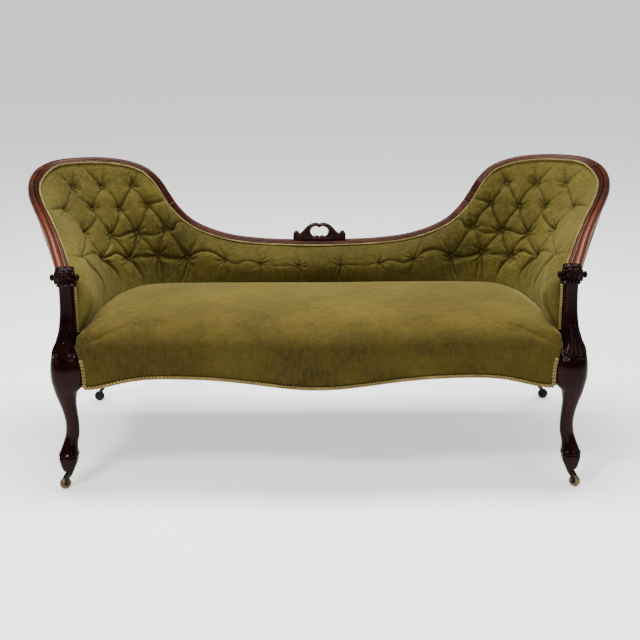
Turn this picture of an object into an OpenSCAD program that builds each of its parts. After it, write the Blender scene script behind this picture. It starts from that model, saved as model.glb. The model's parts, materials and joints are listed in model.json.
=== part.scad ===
// Double spoon-back settee: carved show-wood frame, sprung seat, deep-buttoned back, four swivel castors.
// +Z up, +X to the sitter's left as seen from the front, the front faces -Y. Origin on the floor under the middle of the settee.

/* [Frame] */
// Width of the moulded top rail's face
rail_w = 44; // [38:1:50]
// Thickness of the top rail
rail_t = 20; // [18:0.5:22]
// Height of the flat seat rails
seat_rail_h = 60; // [50:1:64]
// Thickness of the seat rails
seat_rail_t = 26; // [22:1:28]
// Diameter of the frame dowels
dowel_d = 8; // [6:0.5:10]

/* [Seat] */
// Height of the seat's crown above its front edge
crown_h = 58; // [40:1:70]
// How far the middle of the serpentine front stands forward
bow = 40; // [20:1:50]
// Number of spring columns along the seat
spring_cols = 7; // [5:1:7]
// Wire diameter of the seat springs
spring_wire = 4; // [3:0.5:5]

/* [Upholstery] */
// Thickness of the outside back cloth
cloth_t = 3; // [2:0.5:4]
// Radius of the covered buttons
button_r = 7; // [5:0.5:9]
// Radius of the gimp braid
gimp_r = 3.5; // [2.5:0.5:4]

/* [Castors] */
// Castor wheel diameter
wheel_d = 34; // [30:1:36]
// Castor wheel width
wheel_w = 13; // [11:0.5:14]
// How far the wheel trails behind its swivel axis
trail = 15; // [12:1:17]
// Diameter of the castor's axle
axle_d = 5; // [4:0.5:6]

/* [Hidden] */
y_shift = -3.8;           // puts the origin under the middle of the whole settee
castor_h = 56;          // floor to the underside of a leg
z_under = 344;          // underside of the flat seat rails
z_top = z_under + seat_rail_h;
swivel_front = -38;     // direction in which the front castors trail, as an angle in plan on the +X side
swivel_rear = 0;
front_pivot = [735, -339];
rear_pivot = [764, 383];

// ---------- curves ----------
function cr(p, t) = let(n = len(p) - 1, i = max(0, min(floor(t), n - 1)), u = t - i,
  b = p[i], c = p[i + 1], a = i > 0 ? p[i - 1] : 2 * b - c, d = i + 2 <= n ? p[i + 2] : 2 * c - b)
  0.5 * (2 * b + (c - a) * u + (2 * a - 5 * b + 4 * c - d) * u * u + (3 * b - a - 3 * c + d) * u * u * u);
function unit(v) = v / norm(v);
function flip(p) = [for (v = p) [-v[0], v[1], v[2]]];
function rev(p) = [for (i = [len(p) - 1:-1:0]) p[i]];
function whole(p) = concat(p, flip([for (i = [len(p) - 2:-1:0]) p[i]]));
function mix(a, b, t) = a + (b - a) * t;

// Outer upper edge of the show-wood rail, from the front of the +X arm to the middle of the back
RAIL = [[736,-290,632],[772,-210,682],[800,-150,722],[835,-80,760],[864,-15,787],[890,60,811],[904,140,835],
 [898,215,855],[862,275,868],[800,322,870],[730,351,867],[663,365,859],[605,370,844],[560,370,822],[522,364,786],
 [492,357,740],[462,349,698],[420,342,659],[360,335,630],[285,330,609],[190,325,598],[95,322,594],[0,320,592]];
// Foot of the outside back cloth, at the same stations
OUTB = [[728,-274],[729,-200],[731,-140],[734,-75],[738,-15],[743,55],[746,130],[745,195],[735,250],[708,288],[664,300],
 [618,302],[576,302],[540,302],[510,302],[484,302],[456,302],[416,302],[358,302],[284,302],[190,302],[95,302],[0,302]];
// Where the padded inside surface meets the seat, at the same stations
INB = [[674,-282],[672,-205],[670,-140],[668,-75],[665,-15],[661,50],[653,110],[638,165],[612,210],[578,238],[545,250],
 [515,255],[490,257],[468,258],[450,258],[434,258],[412,258],[380,258],[332,258],[268,258],[182,258],[92,258],[0,258]];
MID = len(RAIL) - 1;
FULL = whole(RAIL);
OUTF = whole([for (p = OUTB) [p[0], p[1], 334]]);
INF = whole([for (i = [0:len(INB) - 1]) [INB[i][0], INB[i][1], 484 - 27 * min(1, max(0, (i - 2) / 5))]]);

function railp(s) = cr(FULL, s);
function tang(s) = unit(cr(FULL, s + 0.02) - cr(FULL, s - 0.02));
function inw(s) = let(t = tang(s)) unit([-t[1], t[0], 0]);
function nrm(s) = cross(tang(s), inw(s));
// The rail narrows from the arms to the middle of the back
function kw(s) = let(m = min(s, 2 * MID - s)) m < 5 ? 1 : m < 11 ? mix(1, 0.74, (m - 5) / 6) : 0.74;
// A point of the rail's section: a inward from the outer edge, b along the face normal, e further inward
function rs(s, a, b, e = 0) = railp(s) + (a * kw(s) + e) * inw(s) + b * nrm(s);
// How far the inside surface swells at station s
function swell(s) = let(m = min(s, 2 * MID - s)) m < 1.2 ? 46 : m < 3 ? mix(46, 34, (m - 1.2) / 1.8) : m < 5 ? 34 : m < 9 ? mix(34, 26, (m - 5) / 4) : 26;
// The padded inside surface, v = 0 at the rail to 1 at the seat
function inside(s, v) = let(t = rs(s, rail_w, -rail_t + 4), b = cr(INF, s), p = mix(t, b, v),
  o = cr(OUTF, s), d = unit([b[0] - o[0], b[1] - o[1], 0])) p + d * swell(s) * sin(180 * pow(v, 0.85));
// A point between the outside cloth (q = 0) and the back of the padding (q = 1)
function wall(s, q, v) = let(o = cr(OUTF, s), i = cr(INF, s), e = mix(i, o, 0.36),
  b = mix(o, [e[0], e[1], o[2]], q), t = rs(s, mix(4, 31, q), -rail_t - 1)) mix(t, b, v);

// Front of the seat: plan line of the cloth, and height of its lower edge
function yf(x) = -345 - bow * exp(-pow(x / 230, 2)) - 12 * exp(-pow((abs(x) - 660) / 90, 2));
function zb(x) = 340 - 23 * exp(-pow(x / 230, 2)) - 28 * exp(-pow((abs(x) - 665) / 110, 2));

// ---------- solids from rings ----------
// A closed skin over rings of equal length, capped by fans
module loft(r) {
  n = len(r); m = len(r[0]);
  c0 = [for (k = [0:2]) let(s = [for (p = r[0]) p[k]]) sum(s) / m];
  c1 = [for (k = [0:2]) let(s = [for (p = r[n - 1]) p[k]]) sum(s) / m];
  polyhedron(points = concat([for (a = r) each a], [c0, c1]), faces = concat(
    [for (i = [0:n - 2]) for (j = [0:m - 1]) let(k = (j + 1) % m) [i * m + j, (i + 1) * m + j, (i + 1) * m + k]],
    [for (i = [0:n - 2]) for (j = [0:m - 1]) let(k = (j + 1) % m) [i * m + j, (i + 1) * m + k, i * m + k]],
    [for (j = [0:m - 1]) [n * m, j, (j + 1) % m]],
    [for (j = [0:m - 1]) [n * m + 1, (n - 1) * m + (j + 1) % m, (n - 1) * m + j]]), convexity = 10);
}
function sum(v, i = 0) = i >= len(v) ? 0 : v[i] + sum(v, i + 1);
function sgn(x) = x < 0 ? -1 : 1;
// Level ring of a leg: a rounded square with half widths hx, hy
function level(z, x, y, hx, hy, n = 14, k = 0.72) = [for (j = [0:n - 1]) let(a = -360 * j / n)
  [x + hx * sgn(cos(a)) * pow(abs(cos(a)), k), y + hy * sgn(sin(a)) * pow(abs(sin(a)), k), z]];
// A tube along points
module tube(p, r, n = 6) {
  m = len(p);
  loft([for (i = [0:m - 1]) let(t = unit(p[min(i + 1, m - 1)] - p[max(i - 1, 0)]),
    u = unit(cross(t, abs(t[2]) > 0.8 ? [0, 1, 0] : [0, 0, 1])), w = cross(t, u))
    [for (j = [0:n - 1]) p[i] + r * (cos(360 * j / n) * u + sin(360 * j / n) * w)]]);
}
module both() { children(); mirror([1, 0, 0]) children(); }
module place() { translate([0, y_shift, 0]) children(); }

// ---------- show-wood ----------
// Front leg and arm support in one piece: height, centre x, centre y, half widths
LEG = [[604,712,-298,20,20],[560,712,-300,20,20],[515,713.5,-304,20.5,21],[478,717,-312,24,25],[440,724,-322,29.5,32],[408,724,-330,37.5,40],
 [376,724,-335,41,44],[345,723.5,-336,41.5,43],[318,722,-335,40.5,40],[295,727.5,-334,31,33],[265,726,-331,24,27],[235,722,-328,20.5,23],
 [200,719,-325,19,20.5],[165,720.5,-325,20,20.5],[135,728,-330,22,22],[112,732,-336,27,27],[98,733,-338,28.5,28],[80,733,-339,24,24],[64,735,-339,19,19],[56,735,-339,17,17]];
module front_leg() color([0.22, 0.06, 0.04]) difference() {
  loft([for (i = [0:len(LEG) - 1]) level(LEG[i][0], LEG[i][1], LEG[i][2], LEG[i][3], LEG[i][4])]);
  // mortises for the seat rails
  translate([600, -338.2, z_under + 7.8]) cube([100.2, 12.4, 44.4]);
  translate([704.8, -320.2, z_under + 7.8]) cube([12.4, 60, 44.4]);
  castor_screw_holes(front_pivot);
}
// Rear leg, splayed out and back below, square above where the seat rails meet it: the last value squares its corners
RLEG = [[56,764,383,19,18,.72],[76,761,376,17,17,.72],[110,752,358,16.5,17.5,.7],[160,738,333,17,18,.68],[220,722,306,18.5,20,.6],[270,708,284,19.5,21.5,.5],
 [304,699,269,19.3,20.3,.4],[332,696,262,19,19,.3],[z_top,696,262,19,19,.3]];
module rear_leg() color([0.16, 0.05, 0.03]) difference() {
  loft([for (q = RLEG) level(q[0], q[1], q[2], q[3], q[4], 12, q[5])]);
  castor_screw_holes(rear_pivot);
  translate([698.8, 230, z_under + 7.8]) cube([10.4, 38.2, 44.4]);
  translate([660, 266.8, z_under + 7.8]) cube([38.2, 10.4, 44.4]);
}
// A back post that follows the wall from the seat rail to the top rail
module stile(s0, s1, q0, q1, v0 = 0.004, zl = 0) {
  n = 5;
  loft([for (i = [0:n]) let(v = v0 + (0.99 - v0) * i / n) [for (c = [[s0, q0], [s1, q0], [s1, q1], [s0, q1]])
    let(p = wall(c[0], c[1], v)) i < n ? p : let(w = wall(c[0], c[1], v0 + (0.99 - v0) * (n - 1) / n), f = (w[2] - z_top - 0.2) / (w[2] - p[2])) mix(w, p, f)]]);
}

// Section of the moulded rail
SEC = [[0,-12],[0.5,-5],[4,-1],[10,0],[16,-1.2],[20,-4.5],[23,-4.8],[27,-2.4],[33,-1.6],[39,-3.4],[rail_w - 1.5,-8],[rail_w,-14],[rail_w - 3,-rail_t],[5,-rail_t],[1,-rail_t + 3]];
function rail_ring(s) = rev([for (q = SEC) rs(s, q[0], q[1])]);
module rail(s0, s1, n) loft([for (i = [0:n]) rail_ring(mix(s0, s1, i / n))]);
module dowel_at(s, a, len = 36, grow = 0) {
  p = rs(s, a, -rail_t / 2 - 0.5); t = tang(s);
  translate(p) rotate([0, acos(t[2]), atan2(t[1], t[0])]) cylinder(d = dowel_d + grow, h = len + grow, center = true, $fn = 32);
}
J1 = 7; J2 = 15.5; gap = 0.002;
module arm_rail() color([0.36, 0.12, 0.07]) difference() {
  rail(0, J1 - gap, 16);
  translate([680, -299, 631]) rotate([0, 90, 0]) cylinder(r = 25.3, h = 90, $fn = 48);
  for (a = [14, 31]) dowel_at(J1, a, 36, 0.2);
}
module dome_rail() color([0.34, 0.11, 0.07]) difference() {
  rail(J1 + gap, J2 - gap, 22);
  for (a = [14, 31]) { dowel_at(J1, a, 36, 0.2); dowel_at(J2, a, 36, 0.2); }
}
module centre_rail() color([0.33, 0.11, 0.07]) difference() {
  rail(J2 + gap, 2 * MID - J2 - gap, 34);
  for (s = [J2, 2 * MID - J2]) for (a = [14, 31]) dowel_at(s, a, 36, 0.2);
  for (x = [-62, 62]) translate([x, 311, 578]) cylinder(d = 6.2, h = 40, $fn = 32);
}
module rail_dowels() color([0.72, 0.55, 0.35]) {
  for (s = [J1, J2, 2 * MID - J2, 2 * MID - J1]) for (a = [14, 31]) dowel_at(s, a);
  for (x = [-62, 62]) translate([x, 311, 578.1]) cylinder(d = 6, h = 33, $fn = 32);
}
// Scrolled end of the arm: a roll across the arm with a boss at each end
module arm_scroll() color([0.18, 0.05, 0.04]) union() {
  translate([694, -299, 631]) rotate([0, 90, 0]) cylinder(r = 25, h = 48, $fn = 48);
  translate([684, -299, 629]) rotate([0, 90, 0]) cylinder(r = 16, h = 68, $fn = 48);
  translate([676, -299, 628]) rotate([0, 90, 0]) cylinder(r = 10, h = 84, $fn = 48);
  translate([696, -316, 604.3]) cube([34, 34, 14]);
}
// Pierced crest: two leafy scrolls that meet over an opening, with an ear at each end
CREST = [[0,0],[83,0],[84,12],[80,22],[72,24],[66,17],[58,14],[50,24],[38,40],[26,48],[12,51],[4,49],[0,46]];
HOLE = [[0,9],[6,13],[14,10],[24,14],[29,25],[27,36],[17,43],[5,44.5],[0,42]];
module crest_carving() color([0.2, 0.06, 0.05]) difference() {
  translate([0, 320, 594.2]) rotate([90, 0, 0]) linear_extrude(18) difference() {
    polygon(concat(CREST, [for (i = [len(CREST) - 2:-1:1]) [-CREST[i][0], CREST[i][1]]]));
    polygon(concat(HOLE, [for (i = [len(HOLE) - 2:-1:1]) [-HOLE[i][0], HOLE[i][1]]]));
  }
  for (x = [-62, 62]) translate([x, 311, 590]) cylinder(d = 6.2, h = 21.3, $fn = 32);
}

// ---------- seat frame ----------
module front_seat_rail() color([0.62, 0.45, 0.28]) union() {
  n = 36;
  loft([for (i = [0:n]) let(x = -680.4 + 1360.8 * i / n, y = yf(x) + 14, z = min(zb(x) + 3, z_under - 0.5))
    [[x, y + 16, z], [x, y + 16, z_under], [x, y + seat_rail_t + 2, z_under], [x, y + seat_rail_t + 2, z_top], [x, y, z_top], [x, y, z]]]);
  both() translate([640, -338, z_under + 8]) cube([60, 12, 44]);
}
module rear_seat_rail() color([0.62, 0.45, 0.28]) union() {
  translate([-676.6, 262, z_under]) cube([1353.2, seat_rail_t, seat_rail_h]);
  both() translate([660, 267, z_under + 8]) cube([38, 10, 44]);
}
module side_rail() color([0.62, 0.45, 0.28]) union() {
  translate([0, 0, z_under]) linear_extrude(seat_rail_h) polygon([[697.6,-290.6],[697.6 + seat_rail_t,-290.6],[726,-140],[732,0],[737,100],[736,190],[716,242.6],
    [690,242.6],[737 - seat_rail_t,190],[738 - seat_rail_t,100],[732 - seat_rail_t,0],[726 - seat_rail_t,-140]]);
  translate([705, -320, z_under + 8]) cube([12, 60, 44]);
  translate([699, 232, z_under + 8]) cube([10, 36, 44]);
}
module seat_cross_braces() color([0.6, 0.44, 0.27]) both() translate([258, yf(270) + 15 + seat_rail_t + 3, z_under + 4]) cube([24, 261.5 - (yf(270) + 15 + seat_rail_t + 3), 36]);
CB = [[[600,-309.5],[680,-309.5],[680,-289.6],[697,-289.6],[697.4,-226]], [[676.4,261.4],[604,261.4],[676.4,214]]];
CS = [[[649,-268], -49.4], [[640,237.8], 57]];
module corner_blocks() color([0.66, 0.5, 0.32]) both() difference() {
  for (c = CB) translate([0, 0, z_under + 6]) linear_extrude(44) polygon(c);
  for (c = CS) block_screw(c, 2.1, 18.4);
}
module corner_block_screws() color([0.45, 0.42, 0.36]) both() for (c = CS) { block_screw(c, 2, 18); block_screw(c, 3.8, -2.4); }
// A screw through the long face of a corner block: its shank runs into the wood, its head stands off it
module block_screw(c, r, len) translate([c[0][0], c[0][1], z_under + 28]) rotate([0, 90, c[1]]) translate([0, 0, len < 0 ? len - 0.7 : -1]) cylinder(r = r, h = abs(len) + (len < 0 ? 0 : 1), $fn = 24);

// Stiles that carry on from the rear legs up to the top rail
module back_stiles() color([0.6, 0.44, 0.27]) both() stile(9.05, 9.65, 0.14, 0.6);
// Posts between the rear rail and the top rail
module back_uprights() color([0.6, 0.44, 0.27]) both() stile(19.55, 19.95, 0.2, 0.92);
module arm_uprights() color([0.6, 0.44, 0.27]) both() stile(3.55, 4.05, 0.16, 0.86);
// Rail that the inside back is tacked to, just above the seat
module tacking_rail() color([0.6, 0.44, 0.27]) both() {
  tk(10.2, 19.4, 10);
}
module tk(s0, s1, n) loft([for (i = [0:n]) let(s = mix(s0, s1, i / n)) [for (c = [[0.45, 34], [0.92, 34], [0.92, 12], [0.45, 12]])
  let(t = wall(s, c[0], 0), b = wall(s, c[0], 1)) mix(t, b, (t[2] - z_top - c[1]) / (t[2] - b[2]))]]);

// ---------- springing ----------
module seat_webbing() color([0.62, 0.5, 0.34]) {
  for (i = [-5:5]) let(x = i * 112) translate([x - 25, yf(x) + 36, z_under - 2.4]) cube([50, 250 - yf(x), 2]);
  for (y = [-250, -134, -18, 98, 210]) translate([-712, y - 25, z_under - 4.6]) cube([1424, 50, 2]);
}
SPR = [[0,38],[0.5,38],[2,22],[3.5,38],[4,38]];
module spring(x, y, z0, z1) {
  n = 32; d = spring_wire / 2;
  loft([for (i = [0:n]) let(f = i / n, a = 360 * 4 * f, r = 24 + 13 * pow(abs(2 * f - 1), 1.5),
    c = [x + r * cos(a), y + r * sin(a), z0 + (z1 - z0) * f], u = [cos(a), sin(a), 0])
    [c + d * u, c - d * [0, 0, 1], c - d * u, c + d * [0, 0, 1]]]);
}
module seat_springs() color([0.5, 0.4, 0.25])
  for (i = [0:spring_cols - 1]) for (y = [-195, -58, 79]) spring((i - (spring_cols - 1) / 2) * 1050 / (spring_cols - 1), y, z_under + 4, 428);
// Outline of the sprung part of the seat, inset by g
TRAY = [[604,-289],[630,-263],[630,66],[618,130],[594,178],[558,208],[524,226],[496,232]];
function tray_outline(g) = let(h = [for (p = TRAY) [p[0] - g, p[1] < 0 ? p[1] + g : p[1] - g]]) concat(h, rev(flip2(h)));
function flip2(p) = [for (v = p) [-v[0], v[1]]];
module tray(g) hull() {
  translate([0, 0, z_top + 1]) linear_extrude(0.5) polygon(tray_outline(g));
  translate([0, 0, z_top + 28]) linear_extrude(0.5) polygon(tray_outline(48 + g));
}
module spring_hessian() color([0.68, 0.57, 0.4]) difference() {
  tray(0);
  translate([0, 0, -2]) tray(-0.5);
}
// Height of the hollow under the stuffing
function under(x, y) = let(e = min(1, max(0, (644 - abs(x)) / 48)), f = min(1, max(0, (y + 295) / 48)), g = min(1, max(0, (253 - y) / 52)))
  z_top + 4 + 28.5 * min(e, f, g);
// Plan line of the seat's back and sides, just inside the padding
BL = [[500,250],[545,243],[574,230],[605,202],[630,162],[645,108],[652,48],[657,-15],[662,-100],[667,-270],[669,-293],[690,-294]];
function along(p, x, i = 0) = x <= p[0][0] ? p[0][1] : i > len(p) - 2 ? p[i][1] : x <= p[i + 1][0] ? mix(p[i][1], p[i + 1][1], (x - p[i][0]) / (p[i + 1][0] - p[i][0])) : along(p, x, i + 1);
function back_line(x) = along(BL, abs(x));
function crown(x, w) = 456 + crown_h * (1 - 0.12 * pow(abs(x) / 650, 4) - 0.3 * w * pow(abs(x) / 650, 8)) * pow(sin(180 * min(1, 0.06 + 0.9 * w)), 0.7) - 6 * w - (abs(x) > 640 ? 0.012 * pow(abs(x) - 640, 2) : 0);
SX = [-690,-684,-680.5,-678.5,-673,-669,-667,-662,-652,-645,-630,-605,-574,-545,-500,-400,-320,-240,-160,-80,0];
module seat_cushion() color([0.42, 0.36, 0.12]) {
  xs = concat(SX, [for (i = [len(SX) - 2:-1:0]) -SX[i]]);
  loft([for (x = xs) let(a = yf(x), b = back_line(x), d = b - a, ear = abs(x) > 679, e = abs(x) > 677 ? 4 : 0, fr = a + 14) rev(concat(
    ear ? [[x, a + 4, 437], [x, a + 2, 439], [x, a + 1, 442]] : [[x, a + e, zb(x)], [x, a - 2 + e, zb(x) + 24], [x, a - 3 + e, 400]],
    [[x, a - 1 + e, 446 - e], [x, a + 10 + e, 456 - e]],
    [for (w = [0.06, 0.14, 0.26, 0.4, 0.55, 0.7, 0.84, 0.94]) [x, a + w * d + (w < 0.1 ? 10 : 0), max(456, crown(x, w) - e)]],
    [[x, b, max(under(x, b) + 24, 446)]],
    [for (q = [[999, 1], [194, 14], [-22, 20], [-244, 26], [-296, 32]]) let(y = min(q[0], b - q[1])) [x, y, ear ? 437 : under(x, y)]],
    ear ? [[x, fr - 2.6, 437.4], [x, fr - 4, 437.2]] : [[x, fr - 2.6, z_top + 2.5], [x, fr - 2.6, zb(x)]]))]);
}
module bottom_cloth() color([0.06, 0.06, 0.06]) translate([0, 0, z_under - 6.4]) linear_extrude(1.2)
  polygon(concat([for (x = [-654:54.5:654]) [x, yf(x) + 32]], [[654, -286], [702, -286], [712, 190], [672, 236], [672, 286], [-672, 286], [-672, 236], [-712, 190], [-702, -286], [-654, -286]]));

// ---------- back upholstery ----------
module back_pad() color([0.38, 0.33, 0.12]) {
  n = 72; s0 = 0.25; s1 = 2 * MID - 0.25;
  loft([for (i = [0:n]) let(s = mix(s0, s1, i / n)) rev(concat(
    [for (v = [0.03, 0.09, 0.2, 0.35, 0.5, 0.65, 0.8, 0.92, 1]) inside(s, v)],
    [let(p = cr(INF, s)) [p[0], p[1], 409]],
    [for (v = [0.96, 0.7, 0.4, 0.15, 0.035]) let(p = wall(s, 1.04, v)) v > 0.9 ? let(q = wall(s, 1.04, 0.7), f = (q[2] - 409) / (q[2] - p[2])) mix(q, p, f) : p]))]);
}
// Buttons: station along the back and height, +X half then -X half
BUT = [[7.8,.15],[9.4,.185],[11.1,.165],[6,.225],[8.1,.335],[9.6,.365],[11.55,.32],[6.2,.435],[8.25,.56],[9.95,.565],[12.6,.495],
 [2.75,.4],[6.5,.685],[8.7,.765],[11.05,.745],[15.25,.675],[18.4,.45],[19.85,.44],[21.25,.46]];
module back_buttons() color([0.36, 0.31, 0.1]) both() for (b = BUT) {
  p = inside(b[0], b[1]);
  d = unit(cross(inside(b[0] + 0.2, b[1]) - inside(b[0] - 0.2, b[1]), inside(b[0], b[1] + 0.04) - inside(b[0], b[1] - 0.04)));
  translate(p + d * (button_r + 1.2)) sphere(r = button_r, $fn = 24);
}
module outside_back_cloth() color([0.34, 0.3, 0.12]) {
  n = 52; s0 = 0.15; s1 = 2 * MID - 0.15; m = 4;
  loft([for (i = [0:n]) let(s = mix(s0, s1, i / n)) rev(concat(
    [for (j = [m:-1:0]) wall(s, 0, j / m)], [for (j = [0:m]) wall(s, 0, j / m) - outn(s) * cloth_t]))]);
}
// Outward direction of the wall in plan
function outn(s) = let(o = cr(OUTF, s), i = cr(INF, s)) unit([i[0] - o[0], i[1] - o[1], 0]);

// ---------- trimming ----------
module back_gimp() color([0.6, 0.47, 0.2]) tube([for (i = [0:90]) rs(mix(0.5, 2 * MID - 0.5, i / 90), rail_w, -rail_t + 9.8, 4.9)], gimp_r, 5);
module seat_gimp() color([0.6, 0.47, 0.2]) tube([for (x = [-672:24:672]) [x, yf(x) - gimp_r - 1.4, zb(x) + 4]], gimp_r, 5);
module arm_gimp() color([0.6, 0.47, 0.2]) both() tube([for (z = [598, 560, 525, 500, 478, 460]) [688, -286, z]], gimp_r, 6);
module outside_gimp() color([0.6, 0.47, 0.2]) tube([for (i = [0:60]) let(s = mix(0.4, 2 * MID - 0.4, i / 60), o = cr(OUTF, s)) o - (cloth_t + gimp_r + 4.9) * outn(s) + [0, 0, 4]], gimp_r, 5);

// ---------- castors ----------
PIV = [["fl", -1, front_pivot, swivel_front], ["fr", 1, front_pivot, swivel_front], ["rl", -1, rear_pivot, swivel_rear], ["rr", 1, rear_pivot, swivel_rear]];
plate_t = 2.5; boss_t = 5;
screw_r = 1.6;
module castor_screw_holes(p) translate([p[0], p[1], castor_h - 1]) for (a = [30, 150, 270]) rotate(a) translate([10.5, 0, 0]) cylinder(r = screw_r + 0.1, h = 15, $fn = 24);
module castor_frame(k) let(c = PIV[k]) mirror([c[1] < 0 ? 1 : 0, 0, 0]) translate([c[2][0], c[2][1], 0]) children();
module castor_plate(k) color([0.3, 0.24, 0.14]) castor_frame(k) difference() {
  union() {
    translate([0, 0, castor_h - 0.1 - plate_t]) cylinder(r = 15, h = plate_t, $fn = 48);
    translate([0, 0, castor_h - plate_t - boss_t - 1.2]) cylinder(r = 3.5, h = boss_t + 2, $fn = 32);
    translate([0, 0, castor_h - plate_t - boss_t - 3]) cylinder(r = 5.5, h = 2, $fn = 32);
  }
  for (a = [30, 150, 270]) rotate(a) translate([10.5, 0, castor_h - 4]) { cylinder(r = screw_r + 0.1, h = 5, $fn = 24); cylinder(r = 2.7, h = 2.5, $fn = 24); }
}
module castor_screws() color([0.5, 0.45, 0.35]) for (k = [0:3]) castor_frame(k) for (a = [30, 150, 270]) rotate(a) translate([10.5, 0, 0]) {
  translate([0, 0, castor_h - plate_t]) cylinder(r = screw_r, h = plate_t + 12.9, $fn = 24);
  translate([0, 0, castor_h - plate_t]) cylinder(r = 2.6, h = 0.9, $fn = 24);
}
// Horn: a boss round the pintle and two cheeks that reach out to the axle
module castor_horn(k) color([0.12, 0.09, 0.06]) castor_frame(k) rotate(PIV[k][3]) difference() {
  union() {
    translate([0, 0, castor_h - 0.4 - plate_t - boss_t]) cylinder(r = 9, h = boss_t, $fn = 48);
    for (m = [-1, 1]) translate([0, m * (wheel_w / 2 + 2.6), 0]) rotate([90, 0, 0]) {
      translate([trail, wheel_d / 2, -1.6]) cylinder(r = 6, h = 3.2, $fn = 40);
      translate([0, 0, -1.6]) linear_extrude(3.2) polygon([[trail + 6, wheel_d / 2 + 1], [trail + 3, 34], [8, 44], [6, castor_h - 0.4 - plate_t], [-8, castor_h - 0.4 - plate_t], [-7, castor_h - 3.4 - plate_t], [-1, 39], [trail - 7, 30], [trail - 6, wheel_d / 2]]);
    }
    translate([-6, -wheel_w / 2 - 3.4, castor_h - 0.4 - plate_t - 3.4]) cube([12, wheel_w + 6.8, 3.4]);
  }
  translate([0, 0, 30]) cylinder(r = 3.56, h = 30, $fn = 32);
  translate([trail, 20, wheel_d / 2]) rotate([90, 0, 0]) cylinder(r = axle_d / 2 + 0.02, h = 40, $fn = 32);
}
module castor_axle(k) color([0.4, 0.34, 0.22]) castor_frame(k) rotate(PIV[k][3]) translate([trail, 0, wheel_d / 2]) rotate([90, 0, 0]) {
  cylinder(r = axle_d / 2, h = wheel_w + 9, center = true, $fn = 32);
  for (m = [0, 1]) mirror([0, 0, m]) translate([0, 0, (wheel_w + 8.5) / 2]) cylinder(r = 4, h = 1.4, $fn = 32);
}
module castor_wheel(k) color([0.62, 0.52, 0.34]) castor_frame(k) rotate(PIV[k][3]) translate([trail, 0, wheel_d / 2]) rotate([90, 0, 0])
  rotate_extrude($fn = 72) polygon([[axle_d / 2 + 0.06, -wheel_w / 2], [8, -wheel_w / 2], [9, -wheel_w / 2 + 1.6], [12.5, -wheel_w / 2 + 1.6], [13.5, -wheel_w / 2 + 0.4], [wheel_d / 2 - 2, -wheel_w / 2 + 0.6],
    [wheel_d / 2 - 0.6, -wheel_w / 2 + 2.2], [wheel_d / 2, -2.6], [wheel_d / 2, 2.6], [wheel_d / 2 - 0.6, wheel_w / 2 - 2.2], [wheel_d / 2 - 2, wheel_w / 2 - 0.6], [13.5, wheel_w / 2 - 0.4], [12.5, wheel_w / 2 - 1.6], [9, wheel_w / 2 - 1.6], [8, wheel_w / 2], [axle_d / 2 + 0.06, wheel_w / 2]]);

place() {
front_leg();  // front_leg_right
mirror([1, 0, 0]) front_leg();  // front_leg_left
rear_leg();  // rear_leg_right
mirror([1, 0, 0]) rear_leg();  // rear_leg_left
arm_scroll();  // arm_scroll_right
mirror([1, 0, 0]) arm_scroll();  // arm_scroll_left
arm_rail();  // arm_rail_right
mirror([1, 0, 0]) arm_rail();  // arm_rail_left
dome_rail();  // top_rail_right
mirror([1, 0, 0]) dome_rail();  // top_rail_left
centre_rail();  // top_rail_centre
crest_carving();
rail_dowels();
front_seat_rail();
rear_seat_rail();
side_rail();  // side_rail_right
mirror([1, 0, 0]) side_rail();  // side_rail_left
seat_cross_braces();
corner_blocks();
corner_block_screws();
back_stiles();
back_uprights();
arm_uprights();
tacking_rail();
seat_webbing();
seat_springs();
spring_hessian();
seat_cushion();
bottom_cloth();
back_pad();
back_buttons();
outside_back_cloth();
back_gimp();
seat_gimp();
arm_gimp();
outside_gimp();
castor_plate(0);  // castor_plate_fl
castor_plate(1);  // castor_plate_fr
castor_plate(2);  // castor_plate_rl
castor_plate(3);  // castor_plate_rr
castor_screws();
castor_horn(0);  // castor_horn_fl
castor_horn(1);  // castor_horn_fr
castor_horn(2);  // castor_horn_rl
castor_horn(3);  // castor_horn_rr
castor_axle(0);  // castor_axle_fl
castor_axle(1);  // castor_axle_fr
castor_axle(2);  // castor_axle_rl
castor_axle(3);  // castor_axle_rr
castor_wheel(0);  // castor_wheel_fl
castor_wheel(1);  // castor_wheel_fr
castor_wheel(2);  // castor_wheel_rl
castor_wheel(3);  // castor_wheel_rr
}
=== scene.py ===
import bpy, bmesh, json, math
import numpy as np
from mathutils import Matrix, Vector


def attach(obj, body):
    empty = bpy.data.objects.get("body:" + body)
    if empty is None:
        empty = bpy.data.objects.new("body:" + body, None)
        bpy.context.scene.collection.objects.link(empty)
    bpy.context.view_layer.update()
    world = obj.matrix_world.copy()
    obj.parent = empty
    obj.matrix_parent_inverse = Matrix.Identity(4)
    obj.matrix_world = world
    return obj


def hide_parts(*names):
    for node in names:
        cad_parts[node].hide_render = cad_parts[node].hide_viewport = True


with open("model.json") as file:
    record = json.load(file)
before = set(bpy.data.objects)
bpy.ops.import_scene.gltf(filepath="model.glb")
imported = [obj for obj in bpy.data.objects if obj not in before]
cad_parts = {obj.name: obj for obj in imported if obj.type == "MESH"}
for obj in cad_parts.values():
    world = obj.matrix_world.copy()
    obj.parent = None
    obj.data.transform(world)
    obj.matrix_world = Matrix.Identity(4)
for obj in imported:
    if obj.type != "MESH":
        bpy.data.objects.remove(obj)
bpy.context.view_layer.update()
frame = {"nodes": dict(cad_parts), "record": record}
YS = -3.8                                     # the drawing's y to the row's y, in mm


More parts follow.
